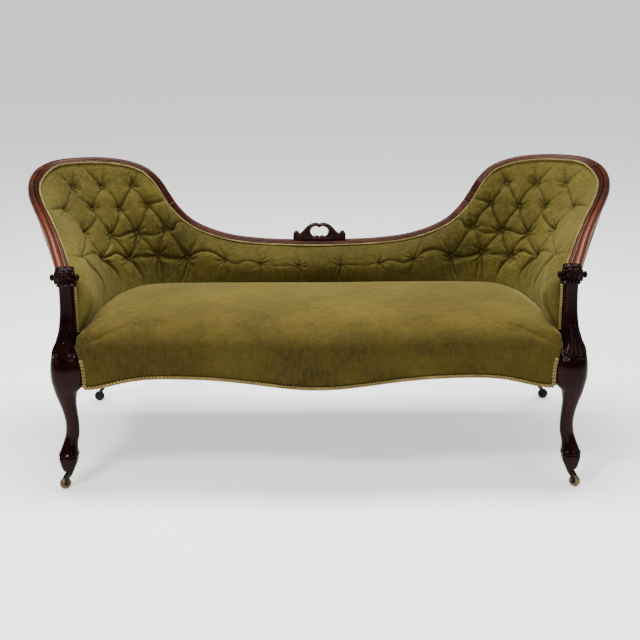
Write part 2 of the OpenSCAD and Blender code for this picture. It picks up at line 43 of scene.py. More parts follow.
# ------------------------------------------------------------------ camera
def make_camera():
    pitch, yaw, roll = math.radians(16.95), math.radians(-0.46), math.radians(-0.465)
    f = Vector((math.sin(yaw) * math.cos(pitch), math.cos(yaw) * math.cos(pitch), -math.sin(pitch)))
    r = Vector((math.cos(yaw), -math.sin(yaw), 0))
    u = r.cross(f)
    r2 = r * math.cos(roll) + u * math.sin(roll)
    u2 = u * math.cos(roll) - r * math.sin(roll)
    cam = bpy.data.objects.new("camera", bpy.data.cameras.new("camera"))
    bpy.context.scene.collection.objects.link(cam)
    cam.data.sensor_width = 36
    cam.data.lens = 1202 * 36 / 640
    cam.matrix_world = Matrix(((r2.x, u2.x, -f.x, 0.031), (r2.y, u2.y, -f.y, -3.585 + YS / 1000), (r2.z, u2.z, -f.z, 1.50), (0, 0, 0, 1)))
    bpy.context.scene.camera = cam


make_camera()


# ------------------------------------------------------------------ the drawing's curves, in mm
def unit(v):
    v = np.asarray(v, float)
    return v / np.maximum(np.linalg.norm(v, axis=-1, keepdims=True), 1e-12)


def mix(a, b, t):
    return a + (b - a) * t


def smooth(x, a, b):
    t = np.clip((x - a) / (b - a), 0, 1)
    return t * t * (3 - 2 * t)


def cr(p, t):
    p = np.asarray(p, float)
    t = np.atleast_1d(np.asarray(t, float))
    n = len(p) - 1
    i = np.clip(np.floor(t).astype(int), 0, n - 1)
    u = (t - i)[:, None]
    b, c = p[i], p[i + 1]
    a = np.where((i > 0)[:, None], p[np.maximum(i - 1, 0)], 2 * b - c)
    d = np.where((i + 2 <= n)[:, None], p[np.minimum(i + 2, n)], 2 * c - b)
    return 0.5 * (2 * b + (c - a) * u + (2 * a - 5 * b + 4 * c - d) * u * u + (3 * b - a - 3 * c + d) * u ** 3)


RAIL = [(736, -290, 632), (768, -210, 682), (794, -150, 722), (829, -80, 760), (861, -15, 787), (890, 60, 811), (905, 140, 835),
        (898, 215, 855), (862, 275, 868), (800, 322, 870), (730, 351, 867), (663, 365, 859), (605, 370, 844), (560, 370, 822), (522, 364, 786),
        (492, 357, 740), (462, 349, 698), (420, 342, 659), (360, 335, 630), (285, 330, 609), (190, 325, 598), (95, 322, 594), (0, 320, 592)]
OUTB = [(728, -274), (729, -200), (731, -140), (734, -75), (738, -15), (743, 55), (746, 130), (745, 195), (735, 250), (708, 288), (664, 300),
        (618, 302), (576, 302), (540, 302), (510, 302), (484, 302), (456, 302), (416, 302), (358, 302), (284, 302), (190, 302), (95, 302), (0, 302)]
INB = [(674, -282), (672, -205), (670, -140), (668, -75), (665, -15), (661, 50), (653, 110), (638, 165), (612, 210), (578, 238), (545, 250),
       (515, 255), (490, 257), (468, 258), (450, 258), (434, 258), (412, 258), (380, 258), (332, 258), (268, 258), (182, 258), (92, 258), (0, 258)]
LEG = [(604, 712, -298, 20, 20), (560, 712, -300, 20, 20), (515, 713.5, -304, 20.5, 21), (478, 717, -312, 24, 25), (440, 724, -322, 29.5, 32), (408, 724, -330, 37.5, 40),
       (376, 724, -335, 41, 44), (345, 723.5, -336, 41.5, 43), (318, 722, -335, 40.5, 40), (295, 727.5, -334, 31, 33), (265, 726, -331, 24, 27), (235, 722, -328, 20.5, 23),
       (200, 719, -325, 19, 20.5), (165, 720.5, -325, 20, 20.5), (135, 728, -330, 22, 22), (112, 732, -336, 27, 27), (98, 733, -338, 28.5, 28), (80, 733, -339, 24, 24),
       (64, 735, -339, 19, 19), (56, 735, -339, 17, 17)]
RLEG = [(56, 764, 383, 19, 18, .72), (76, 761, 376, 17, 17, .72), (110, 752, 358, 16.5, 17.5, .7), (160, 738, 333, 17, 18, .68), (220, 722, 306, 18.5, 20, .6), (270, 708, 284, 19.5, 21.5, .5),
        (304, 699, 269, 19.3, 20.3, .4), (332, 696, 262, 19, 19, .3), (404, 696, 262, 19, 19, .3)]
MID = len(RAIL) - 1
BOW, CROWN, RAIL_T = 40, 58, 20
Z_UNDER, Z_TOP = 344, 404


def flip(p):
    q = np.array(p, float)
    q[..., 0] *= -1
    return q


def whole(p):
    p = np.array(p, float)
    return np.concatenate([p, flip(p[-2::-1])])


FULL = whole(RAIL)
OUTF = whole([(x, y, 334) for x, y in OUTB])
INF = whole([(x, y, 484 - 27 * min(1, max(0, (i - 2) / 5))) for i, (x, y) in enumerate(INB)])


def side(s):
    return np.minimum(s, 2 * MID - s)


def kw(s):
    m = side(s)
    return np.interp(m, [0, 0.6, 2, 5.6, 7.0, 8.4, 9.5, 11], [0.86, 0.8, 0.69, 0.69, 0.87, 0.87, 0.78, 0.74])


def tang(s):
    return unit(cr(FULL, s + 0.02) - cr(FULL, s - 0.02))


def inw(s):
    t = tang(s)
    return unit(np.stack([-t[:, 1], t[:, 0], 0 * t[:, 0]], 1))


def nrm(s):
    return np.cross(tang(s), inw(s))


def rs(s, a, b, e=0.0):
    s = np.atleast_1d(np.asarray(s, float))
    a, b, e = (np.broadcast_to(np.asarray(q, float), s.shape) for q in (a, b, e))
    return cr(FULL, s) + (a * kw(s) + e)[:, None] * inw(s) + b[:, None] * nrm(s)


def swell(s):
    m = side(s)
    return np.interp(m, [1.2, 3, 5, 9], [49, 41, 41, 29])


def outn(s):
    o, i = cr(OUTF, s), cr(INF, s)
    d = i - o
    d[:, 2] = 0
    return unit(d)


def inside(s, v):
    """The padded inside surface: v is 0 at the rail and 1 at the seat."""
    s, v = np.broadcast_arrays(np.atleast_1d(np.asarray(s, float)), np.asarray(v, float))
    t, b = rs(s, 44, -RAIL_T + 4), cr(INF, s)
    return mix(t, b, v[:, None]) + outn(s) * (swell(s) * np.sin(math.pi * np.clip(v, 0, 1) ** 0.85))[:, None]


def wall(s, q, v):
    """Between the outside cloth (q = 0) and the back of the padding (q = 1): v is 0 at the rail and 1 at the foot."""
    s, q, v = np.broadcast_arrays(np.atleast_1d(np.asarray(s, float)), np.asarray(q, float), np.asarray(v, float))
    o, i = cr(OUTF, s), cr(INF, s)
    e = mix(i, o, 0.36)
    e[:, 2] = o[:, 2]
    b = mix(o, e, q[:, None])
    return mix(rs(s, mix(4, 31, q), -RAIL_T - 1), b, v[:, None])


def yf(x):
    return -345 - BOW * np.exp(-(x / 230) ** 2) - 12 * np.exp(-((np.abs(x) - 660) / 90) ** 2)


def zb(x):
    return 340 - 23 * np.exp(-(x / 230) ** 2) - 28 * np.exp(-((np.abs(x) - 665) / 110) ** 2)


# ------------------------------------------------------------------ mesh helpers
def link(name, me):
    o = bpy.data.objects.new(name, me)
    bpy.context.scene.collection.objects.link(o)
    return o


def mesh(name, verts, faces, mat=None, attrs=None, smooth_faces=True, fix=False):
    """verts in mm of the drawing."""
    v = np.array(verts, float).reshape(-1, 3)
    v[:, 1] += YS
    me = bpy.data.meshes.new(name)
    me.from_pydata((v / 1000).tolist(), [], [list(map(int, f)) for f in faces])
    me.update()
    if attrs:
        for k, a in attrs.items():
            at = me.attributes.new(k, "FLOAT", "POINT")
            at.data.foreach_set("value", np.asarray(a, np.float32).ravel())
    if fix:
        bm = bmesh.new()
        bm.from_mesh(me)
        bmesh.ops.recalc_face_normals(bm, faces=bm.faces)
        if bm.calc_volume(signed=True) < 0:
            bmesh.ops.reverse_faces(bm, faces=bm.faces)
        bm.to_mesh(me)
        bm.free()
    me.polygons.foreach_set("use_smooth", [smooth_faces] * len(me.polygons))
    o = link(name, me)
    if mat:
        me.materials.append(mat)
    return o


def grid_faces(n, m, wrap=False, off=0, turn=False):
    """Faces of n rings of m points. wrap joins the last point of a ring to its first."""
    i, j = np.meshgrid(np.arange(n - 1), np.arange(m if wrap else m - 1), indexing="ij")
    k = (j + 1) % m
    f = np.stack([i * m + j, i * m + k, (i + 1) * m + k, (i + 1) * m + j], -1).reshape(-1, 4) + off
    return f[:, ::-1] if turn else f


def ring_solid(rings, turn=False):
    """Verts and faces of a closed skin over rings (n, m, 3), with fan caps."""
    r = np.asarray(rings, float)
    n, m = r.shape[:2]
    v = np.concatenate([r.reshape(-1, 3), [r[0].mean(0)], [r[-1].mean(0)]])
    f = [list(q) for q in grid_faces(n, m, True, 0, turn)]
    for j in range(m):
        k = (j + 1) % m
        a, b = [n * m, k, j], [n * m + 1, (n - 1) * m + j, (n - 1) * m + k]
        f += [a[::-1], b[::-1]] if turn else [a, b]
    return v, f


class Bag:
    """Collects several closed skins into one mesh."""
    def __init__(self):
        self.v, self.f, self.a, self.n = [], [], [], 0

    def add(self, v, f, a=0.0):
        v = np.asarray(v, float)
        self.v.append(v)
        self.f += [[i + self.n for i in q] for q in f]
        self.a.append(np.broadcast_to(np.asarray(a, float), (len(v),)))
        self.n += len(v)

    def make(self, name, mat, key="deep", fix=True):
        return mesh(name, np.concatenate(self.v), self.f, mat, {key: np.concatenate(self.a)}, fix=fix)


def frames(p):
    """Tangent and two normals along a polyline, turned as little as possible."""
    p = np.asarray(p, float)
    t = unit(np.gradient(p, axis=0))
    u = np.zeros_like(p)
    ref = np.array([0, 0, 1.0]) if abs(t[0][2]) < 0.9 else np.array([0, 1.0, 0])
    u[0] = unit(np.cross(t[0], ref))
    for i in range(1, len(p)):
        q = u[i - 1] - t[i] * (u[i - 1] @ t[i])
        u[i] = unit(q)
    return t, u, np.cross(t, u)


def tube(p, r, n=8, flat=1.0, ref=None, ends=True):
    """Closed tube along p. r may vary; flat squeezes it along the second normal."""
    p = np.asarray(p, float)
    t, u, w = frames(p)
    if ref is not None:
        ref = np.broadcast_to(np.asarray(ref, float), p.shape)
        u = unit(np.cross(t, ref))
        w = np.cross(t, u)
    r = np.broadcast_to(np.asarray(r, float), (len(p),))
    a = 2 * math.pi * np.arange(n) / n
    rings = p[:, None] + r[:, None, None] * (np.cos(a)[None, :, None] * u[:, None] + flat * np.sin(a)[None, :, None] * w[:, None])
    return ring_solid(rings)


# ------------------------------------------------------------------ materials
def lin(c):
    c = np.asarray(c, float) / 255
    return tuple(np.where(c <= 0.04045, c / 12.92, ((c + 0.055) / 1.055) ** 2.4)) + (1.0,)


class Nodes:
    def __init__(self, name):
        self.mat = bpy.data.materials.new(name)
        self.mat.use_nodes = True
        self.t = self.mat.node_tree
        self.t.nodes.clear()
        self.out = self.t.nodes.new("ShaderNodeOutputMaterial")
        self.bsdf = self.t.nodes.new("ShaderNodeBsdfPrincipled")
        self.t.links.new(self.bsdf.outputs[0], self.out.inputs[0])
        self.co = None

    def n(self, kind, **kw_):
        o = self.t.nodes.new(kind)
        for k, v in kw_.items():
            if k.startswith("i_"):
                o.inputs[k[2:].replace("_", " ")].default_value = v
            else:
                setattr(o, k, v)
        return o

    def to(self, a, b):
        self.t.links.new(a, b)
        return a

    def coord(self, scale=(1, 1, 1), turn=(0, 0, 0)):
        if self.co is None:
            self.co = self.n("ShaderNodeTexCoord")
        m = self.n("ShaderNodeMapping")
        m.inputs["Scale"].default_value = scale
        m.inputs["Rotation"].default_value = turn
        self.to(self.co.outputs["Object"], m.inputs["Vector"])
        return m.outputs[0]

    def noise(self, scale, detail=3.0, rough=0.55, vec=None, dist=0.0):
        o = self.n("ShaderNodeTexNoise")
        o.inputs["Scale"].default_value = scale
        o.inputs["Detail"].default_value = detail
        o.inputs["Roughness"].default_value = rough
        o.inputs["Distortion"].default_value = dist
        self.to(vec if vec is not None else self.coord(), o.inputs["Vector"])
        return o.outputs["Fac"]

    def ramp(self, fac, stops, kind="LINEAR"):
        o = self.n("ShaderNodeValToRGB")
        e = o.color_ramp.elements
        while len(e) > 1:
            e.remove(e[-1])
        for i, (p, c) in enumerate(stops):
            el = e[0] if i == 0 else e.new(p)
            el.position = p
            el.color = c if hasattr(c, "__len__") else (c, c, c, 1)
        o.color_ramp.interpolation = kind
        self.to(fac, o.inputs[0])
        return o.outputs[0]

    def blend(self, fac, a, b, kind="MIX"):
        o = self.n("ShaderNodeMix", data_type="RGBA", blend_type=kind)
        o.clamp_factor = True
        for s, v in ((o.inputs[0], fac), (o.inputs[6], a), (o.inputs[7], b)):
            if isinstance(v, (int, float)):
                s.default_value = v
            elif isinstance(v, tuple):
                s.default_value = v
            else:
                self.to(v, s)
        return o.outputs[2]

    def math(self, op, a, b=0.0, c=None):
        o = self.n("ShaderNodeMath", operation=op)
        for s, v in zip(o.inputs, (a, b, c)):
            if v is None:
                continue
            if isinstance(v, (int, float)):
                s.default_value = v
            else:
                self.to(v, s)
        return o.outputs[0]

    def attr(self, name):
        o = self.n("ShaderNodeAttribute", attribute_name=name)
        return o.outputs["Fac"]

    def bump(self, height, strength=0.3, distance=0.001, normal=None):
        o = self.n("ShaderNodeBump")
        o.inputs["Strength"].default_value = strength
        o.inputs["Distance"].default_value = distance
        self.to(height, o.inputs["Height"])
        if normal is not None:
            self.to(normal, o.inputs["Normal"])
        return o.outputs[0]

    def set(self, **kw_):
        for k, v in kw_.items():
            s = self.bsdf.inputs[k.replace("_", " ")]
            if isinstance(v, (int, float, tuple)):
                s.default_value = v
            else:
                self.to(v, s)
        return self.mat


def velvet(name, base, dark, light, sheen=(0.60, 0.53, 0.20), sheen_w=0.5, patch=3.0, brown=(80, 56, 18), calm=1.0):
    m = Nodes(name)
    big = m.noise(patch, 4, 0.6, m.coord((1, 1, 1.3)))
    mid = m.noise(20, 5, 0.65, m.coord((1, 1, 1)), 0.5)
    mott = m.noise(58, 4, 0.65, m.coord((1.0, 1.0, 0.6)), 0.3)
    streak = m.noise(210, 3, 0.7, m.coord((1.0, 1.0, 0.16)))
    cross = m.noise(210, 3, 0.7, m.coord((0.16, 0.3, 1.0)))
    fine = m.noise(700, 2, 0.8)
    c = m.ramp(big, [(0.3, lin(dark)), (0.5, lin(base)), (0.72, lin(light))])
    c = m.blend(m.ramp(mid, [(0.42, 0.0), (0.78, 0.55 * calm)]), c, lin(brown))
    c = m.blend(m.ramp(mott, [(0.3, 0.40 * calm), (0.52, 0.0)]), c, lin(dark))
    c = m.blend(m.ramp(mott, [(0.5, 0.0), (0.75, 0.4 * calm)]), c, lin(light))
    c = m.blend(m.ramp(streak, [(0.45, 0.0), (0.7, 0.6)]), c, lin(light))
    c = m.blend(m.ramp(cross, [(0.3, 0.45), (0.5, 0.0)]), c, lin(dark))
    c = m.blend(m.ramp(fine, [(0.35, 0.5), (0.6, 0.0)]), c, lin(dark))
    # painted shade: the colour darkens, and the sheen dims, where the mesh marks folds, dimples, grooves and other
    # shaded places
    deep = m.attr("deep")
    c = m.blend(m.ramp(deep, [(0.0, 0.0), (0.45, 0.42), (1.0, 0.84)]), c, lin([d * 0.32 for d in dark]))
    b = m.bump(fine, 0.5, 0.0008)
    b = m.bump(m.math("ADD", streak, m.math("MULTIPLY", cross, 0.8)), 0.45, 0.0010, b)
    b = m.bump(mott, 0.35, 0.0018, b)
    rough = m.ramp(mid, [(0.3, 0.92), (0.7, 0.78)])
    sh = m.blend(m.ramp(streak, [(0.3, 0.25), (0.7, 0.0)]), tuple(sheen) + (1.0,), tuple(0.45 * q for q in sheen) + (1.0,))
    sh = m.blend(m.ramp(deep, [(0.0, 0.0), (0.8, 0.9)]), sh, (0.02, 0.02, 0.01, 1.0))
    m.set(Base_Color=c, Roughness=rough, Normal=b, Sheen_Weight=sheen_w, Sheen_Roughness=0.36, Sheen_Tint=sh, Specular_IOR_Level=0.1)
    return m.mat


def polished(name, dark, base, light, coat=0.3, rough=(0.2, 0.36), grain=(0.12, 1.0, 1.0), scale=26, spec=0.3, patch=None, tint=(1.0, 0.72, 0.6)):
    m = Nodes(name)
    g1 = m.noise(scale, 6, 0.62, m.coord(grain), 1.2)
    g2 = m.noise(scale * 7, 4, 0.6, m.coord(grain), 0.4)
    c = m.ramp(g1, [(0.25, lin(dark)), (0.5, lin(base)), (0.76, lin(light))])
    c = m.blend(m.ramp(g2, [(0.42, 0.5), (0.62, 0.0)]), c, lin(dark))
    if patch:
        # painted light: the front of the rail, on the arms where the light falls, is lightened towards the patch
        # colour; towards the middle and back it stays darker
        x = m.n("ShaderNodeSeparateXYZ")
        m.to(m.coord(), x.inputs[0])
        far = m.math("MULTIPLY", x.outputs[1], -1.0)
        zz = m.math("ADD", m.math("MULTIPLY", far, 1.0), m.math("MULTIPLY", m.noise(7, 3, 0.6), 0.12))
        c = m.blend(m.ramp(zz, [(0.06, 0.0), (0.2, 0.75)]), c, lin(patch))
    # painted shade: grooves, recesses and undersides are darkened towards near black
    deep = m.attr("deep")
    c = m.blend(m.ramp(deep, [(0.0, 0.0), (1.0, 0.92)]), c, lin([6, 2, 2]))
    wear = m.noise(9, 4, 0.6)
    r = m.ramp(m.math("ADD", m.math("MULTIPLY", wear, 0.75), m.math("MULTIPLY", deep, 0.35)), [(0.25, rough[0]), (0.75, rough[1])])
    b = m.bump(g2, 0.08, 0.0006)
    b = m.bump(m.noise(300, 3, 0.6), 0.06, 0.0005, b)
    m.set(Base_Color=c, Roughness=r, Normal=b, Coat_Weight=coat, Coat_Roughness=0.12, Coat_Tint=tuple(tint) + (1.0,), Specular_IOR_Level=spec, Specular_Tint=tuple(tint) + (1.0,))
    return m.mat


def plain_wood(name, dark, base, light):
    m = Nodes(name)
    g = m.noise(30, 5, 0.6, m.coord((0.1, 1, 1)), 0.6)
    g2 = m.noise(220, 3, 0.6, m.coord((0.08, 1, 1)))
    c = m.ramp(g, [(0.25, lin(dark)), (0.5, lin(base)), (0.78, lin(light))])
    c = m.blend(m.ramp(g2, [(0.4, 0.35), (0.6, 0.0)]), c, lin(dark))
    m.set(Base_Color=c, Roughness=m.ramp(g2, [(0.3, 0.75), (0.7, 0.58)]), Normal=m.bump(g2, 0.25, 0.0006))
    return m.mat


def metal(name, dark, base, light, rough=(0.3, 0.55), metallic=1.0, scale=60):
    m = Nodes(name)
    a = m.noise(scale, 5, 0.65)
    b_ = m.noise(scale * 6, 3, 0.6)
    c = m.ramp(a, [(0.3, lin(dark)), (0.52, lin(base)), (0.75, lin(light))])
    c = m.blend(m.ramp(b_, [(0.35, 0.5), (0.6, 0.0)]), c, lin(dark))
    m.set(Base_Color=c, Metallic=metallic, Roughness=m.ramp(a, [(0.3, rough[1]), (0.7, rough[0])]), Normal=m.bump(b_, 0.18, 0.0004))
    return m.mat


def cloth(name, dark, base, light, pitch=900.0, bump=0.4):
    m = Nodes(name)
    w1 = m.n("ShaderNodeTexWave", wave_type="BANDS", bands_direction="X")
    w2 = m.n("ShaderNodeTexWave", wave_type="BANDS", bands_direction="Z")
    for w in (w1, w2):
        w.inputs["Scale"].default_value = pitch / 20
        w.inputs["Distortion"].default_value = 1.2
        w.inputs["Detail"].default_value = 1.5
        m.to(m.coord(), w.inputs["Vector"])
    wv = m.math("MAXIMUM", w1.outputs["Fac"], w2.outputs["Fac"])
    a = m.noise(16, 4, 0.6)
    c = m.ramp(a, [(0.3, lin(dark)), (0.5, lin(base)), (0.72, lin(light))])
    c = m.blend(m.ramp(wv, [(0.3, 0.45), (0.8, 0.0)]), c, lin(dark))
    m.set(Base_Color=c, Roughness=m.ramp(a, [(0.3, 0.95), (0.7, 0.85)]), Normal=m.bump(wv, bump, 0.0005), Sheen_Weight=0.1, Specular_IOR_Level=0.2)
    return m.mat


def thread(name, dark, base, light):
    m = Nodes(name)
    tw = m.n("ShaderNodeTexWave", wave_type="BANDS", bands_direction="DIAGONAL")
    tw.inputs["Scale"].default_value = 260
    tw.inputs["Distortion"].default_value = 2.0
    tw.inputs["Detail"].default_value = 2.0
    m.to(m.coord(), tw.inputs["Vector"])
    a = m.noise(14, 4, 0.6)
    fine = m.noise(1500, 2, 0.7)
    c = m.ramp(a, [(0.2, lin([0.78 * q for q in base])), (0.5, lin(base)), (0.8, lin(light))])
    c = m.blend(m.ramp(tw.outputs["Fac"], [(0.25, 0.55), (0.6, 0.0)]), c, lin(dark))
    c = m.blend(m.ramp(fine, [(0.4, 0.35), (0.6, 0.0)]), c, lin(dark))
    # painted shade: the gimp darkens where the mesh marks the ribbon under the cords, the crossings and the corded
    # edges
    c = m.blend(m.ramp(m.attr("deep"), [(0.0, 0.0), (1.0, 0.95)]), c, lin([0.4 * q for q in dark]))
    b = m.bump(tw.outputs["Fac"], 0.5, 0.0006)
    m.set(Base_Color=c, Roughness=m.ramp(fine, [(0.3, 0.6), (0.7, 0.85)]), Normal=m.bump(fine, 0.4, 0.0004, b), Sheen_Weight=0.25, Sheen_Roughness=0.4, Specular_IOR_Level=0.25)
    return m.mat


MAT = {
    "back_velvet": velvet("back_velvet_pile", (76, 68, 25), (50, 44, 13), (98, 89, 36), sheen_w=0.26),
    "seat_velvet": velvet("seat_velvet_pile", (71, 60, 14), (47, 39, 8), (93, 81, 25), sheen_w=0.82, patch=5.0, calm=0.7),
    "outside_cloth": velvet("outside_velvet_pile", (72, 62, 20), (50, 43, 12), (92, 82, 30), patch=2.0, sheen_w=0.14),
    # painted light: patch is the lighter colour painted on the front of the rail, where light falls on the arms
    "polished_rail": polished("rail_polish", (22, 7, 4), (52, 18, 10), (84, 36, 18), coat=0.05, rough=(0.24, 0.38), spec=0.15, patch=(86, 42, 23), tint=(1.0, 0.62, 0.48)),
    "dark_rosewood": polished("dark_polish", (5, 1, 1), (15, 3, 2), (31, 7, 5), coat=0.08, rough=(0.17, 0.28), grain=(1, 1, 0.12), spec=0.06, tint=(1.0, 0.5, 0.42)),
    # painted light: a lighter copy of the dark rosewood for the crest, standing in for the reddish reflections on its
    # front
    "crest_rosewood": polished("crest_polish_painted_light", (12, 3, 3), (34, 11, 9), (62, 26, 20), coat=0.12, rough=(0.22, 0.34), grain=(1, 1, 0.12), spec=0.3, tint=(1.0, 0.6, 0.52)),
    "beech": plain_wood("beech_sawn", (150, 116, 76), (186, 150, 104), (206, 174, 128)),
    "iron_screw": metal("screw_steel", (60, 56, 50), (96, 90, 82), (130, 124, 114)),
    "jute": cloth("jute_weave", (112, 88, 56), (148, 120, 80), (172, 146, 104), 500, 0.7),
    "spring_wire": metal("copper_washed_wire", (84, 56, 34), (140, 100, 66), (170, 132, 92)),
    "black_cloth": cloth("black_calico", (12, 12, 12), (24, 23, 22), (36, 34, 32), 900, 0.5),
    "gimp": thread("gimp_thread", (48, 38, 11), (152, 130, 60), (204, 182, 104)),
    "castor_iron": metal("castor_dark_iron", (14, 12, 11), (34, 29, 26), (62, 54, 46), (0.35, 0.6), 0.85),
    "castor_brass": metal("castor_worn_brass", (52, 43, 28), (104, 88, 58), (168, 150, 110), (0.28, 0.5), 0.85),
}
# painted shade: a darker copy of the castor brass for the rear wheels, which stand in shade under the back
REAR_WHEEL_SHADED = metal("castor_brass_painted_shade", (18, 15, 12), (40, 34, 27), (74, 62, 46), (0.35, 0.6), 0.8)
SLOT = {p["node"]: p["material_slot"] for p in frame["record"]["subparts"]}
for node, obj in frame["nodes"].items():
    for ms in obj.material_slots:
        ms.material = REAR_WHEEL_SHADED if SLOT[node] == "castor_brass" and ("_rl" in node or "_rr" in node) else MAT[SLOT[node]]
    if not obj.material_slots:
        obj.data.materials.append(MAT[SLOT[node]])


def done(o, slot, *nodes, body="frame"):
    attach(o, body)
    if nodes:
        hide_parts(*nodes)
    return o


def mirror_x(v):
    v = np.array(v, float)
    v[:, 0] *= -1
    return v


# ------------------------------------------------------------------ moulded rail
SEC = np.array([(-2.6, -17.6), (-3.6, -14.8), (-3.5, -11), (-2.7, -8), (-0.8, -5.0), (1.8, -2.6), (5.6, -1.1), (9, -0.2), (13, 0), (17, -0.5), (20.4, -1.7), (22.8, -3.4), (24.2, -5.6), (25, -7.4), (26, -7.8),
                (27, -7.0), (27.6, -5.4), (28.8, -4.1), (30.8, -3.4), (33, -3.5), (35, -4.5), (36.2, -6.2), (37, -7.8), (37.8, -8.1), (38.6, -7.4), (39.8, -6.9), (41.4, -7.3), (43, -8.8), (43.9, -11.2), (44, -14),
                (43.6, -17.5), (42, -19.4), (38, -20), (22, -20), (4, -20), (0.4, -19.4)])
# painted shade: darkest in the grooves of the moulding, a little on the rail's underside
SEC_SHADE = np.clip((np.interp(SEC[:, 0], [0, 22, 25.5, 28, 35, 37.4, 40, 44], [0, 0, 1, 0.15, 0.2, 1, 0.3, 0.5])) * (SEC[:, 1] > -12) + 0.2 * (SEC[:, 1] <= -12), 0, 1)


def rail_piece(name, s0, s1, step, nodes):
    n = max(8, int(np.linalg.norm(np.diff(cr(FULL, np.linspace(s0, s1, 200)), axis=0), axis=1).sum() / step))
    s = np.linspace(s0, s1, n)
    rings = np.stack([rs(s, a, b) for a, b in SEC], 1)
    v, f = ring_solid(rings)
    deep = np.concatenate([np.tile(SEC_SHADE, n), [0.3, 0.3]])
    o = mesh(name, v, f, MAT["polished_rail"], {"deep": deep}, fix=True)
    return done(o, "polished_rail", *nodes)


J1, J2, GAP = 7, 15.5, 0.0006
rail_piece("moulded_arm_rail_right", 0.12, J1 - GAP, 7, ["arm_rail_right"])
rail_piece("moulded_dome_rail_right", J1 + GAP, J2 - GAP, 7, ["top_rail_right"])
rail_piece("moulded_centre_rail", J2 + GAP, 2 * MID - J2 - GAP, 7, ["top_rail_centre"])
rail_piece("moulded_dome_rail_left", 2 * MID - J2 + GAP, 2 * MID - J1 - GAP, 7, ["top_rail_left"])
rail_piece("moulded_arm_rail_left", 2 * MID - J1 + GAP, 2 * MID - 0.12, 7, ["arm_rail_left"])

# ------------------------------------------------------------------ buttoned back and arms
BUT = {"a1": (7.8, .15), "a2": (9.4, .185), "a3": (11.1, .165), "b1": (6, .225), "b2": (8.1, .335), "b3": (9.6, .365), "b4": (11.55, .32),
       "c1": (6.2, .435), "c2": (8.25, .56), "c3": (9.95, .565), "c4": (12.6, .495), "d1": (2.75, .4), "d2": (6.5, .685), "d3": (8.7, .765),
       "d4": (11.05, .745), "d5": (15.25, .675), "e1": (18.4, .45), "e2": (19.85, .44), "e3": (21.25, .46)}
# a fold's line (button names, or stations and heights) and its strength
FOLD = [(["a1", (8.2, .1), (8.6, .04)], .7), (["a2", (9.6, .14), (10, .06)], .6), (["a3", (11.6, .1), (12.2, .02)], .7), (["a1", (7.6, .08), (7.3, .02)], .5), (["a2", (9.2, .1), (9.1, .02)], .5),
        (["a1", (6.8, .2), "b1"], .9), (["a1", (7.6, .23), "b2"], .6), (["a2", (8.6, .27), "b2"], .7), (["a2", (9.6, .26), "b3"], .6), (["a3", (10.1, .3), "b3"], 1), (["a3", (11.3, .25), "b4"], .6),
        (["b1", (5.5, .17), (4.7, .1), (3.9, .03)], .8), (["b1", (5.2, .2), (4.1, .16)], .4), (["b4", (12.2, .28), (13.4, .21), (15.3, .01)], .8), (["b1", (6, .33), "c1"], .6),
        (["b2", (7.9, .4), (7, .44), "c1"], 1), (["b2", (8, .41), (8.1, .49), "c2"], .6), (["b3", (9.1, .46), "c2"], 1), (["b3", (9.8, .46), "c3"], .7), (["b4", (10.8, .45), "c3"], .9), (["b4", (12.2, .41), "c4"], .7),
        (["c4", (14, .42), (16.7, .02)], 1), (["c4", (13.6, .37), (15.2, .1)], .35), (["c2", (8.6, .58), (9.2, .57), (9.7, .55), "c3"], .9), (["c3", (10.5, .58), (11.4, .57), "c4"], .7),
        (["c1", (5.7, .47), (4.7, .47), "d1"], 1), (["c1", (6.1, .55), "d2"], .6), (["c2", (7.6, .63), "d2"], 1), (["c2", (8.5, .66), "d3"], .6), (["c3", (9.4, .68), "d3"], 1), (["c3", (10.6, .68), "d4"], .5),
        (["c4", (11.6, .64), "d4"], .6), (["c4", (14.1, .59), "d5"], .6), (["d1", (1.8, .22), (1.3, .1), (1, .03)], .6), (["d1", (2.3, .3), (2.2, .16)], .35),
        (["d1", (4.5, .53), (5.7, .6), (6.2, .65), "d2"], .6), (["d2", (7.3, .7), (7.9, .7), (8.3, .73), "d3"], .9), (["d3", (9.6, .76), (10.2, .76), "d4"], .7), (["d4", (12.2, .76), (13.6, .75), "d5"], .9),
        (["d5", (16.2, .55), (17.3, .38), (17.9, .35), "e1"], .8), (["d5", (16.4, .44), (17.6, .06)], .45),
        (["d1", (3.7, .58), (4.5, .73), (4.7, .86), (3.8, .98)], .8), (["d2", (7, .77), (7.3, .85), (7.2, .95), (6.9, .99)], 1), (["d2", (6.6, .8), (6.2, .98)], .5), (["d3", (9, .84), (9.1, .93), (9, .99)], .8),
        (["d4", (10.6, .88), (10.2, .99)], .8), (["d4", (11.1, .87), (10.95, .99)], .7), (["d5", (14.7, .84), (13.4, .99)], .8), (["d5", (15.3, .82), (14.6, .99)], .6),
        (["e1", (18.9, .5), (19.4, .4), "e2"], .4), (["e2", (20.5, .5), "e3"], .22), (["e1", (18.3, .2), (18.3, .02)], .4), (["e1", (18.5, .75), (18.5, .99)], .4), (["e2", (19.8, .2), (19.9, .02)], .35),
        (["e2", (19.9, .75), (19.8, .99)], .35), (["e3", (21.2, .2), (21.3, .02)], .5), (["e3", (21.3, .75), (21.2, .99)], .5)]


def fold_line(pts, n=12):
    p = np.array([BUT[q] if isinstance(q, str) else q for q in pts], float)
    return cr(np.c_[p, 0 * p[:, 0]], np.linspace(0, len(p) - 1, n * (len(p) - 1) + 1))[:, :2]


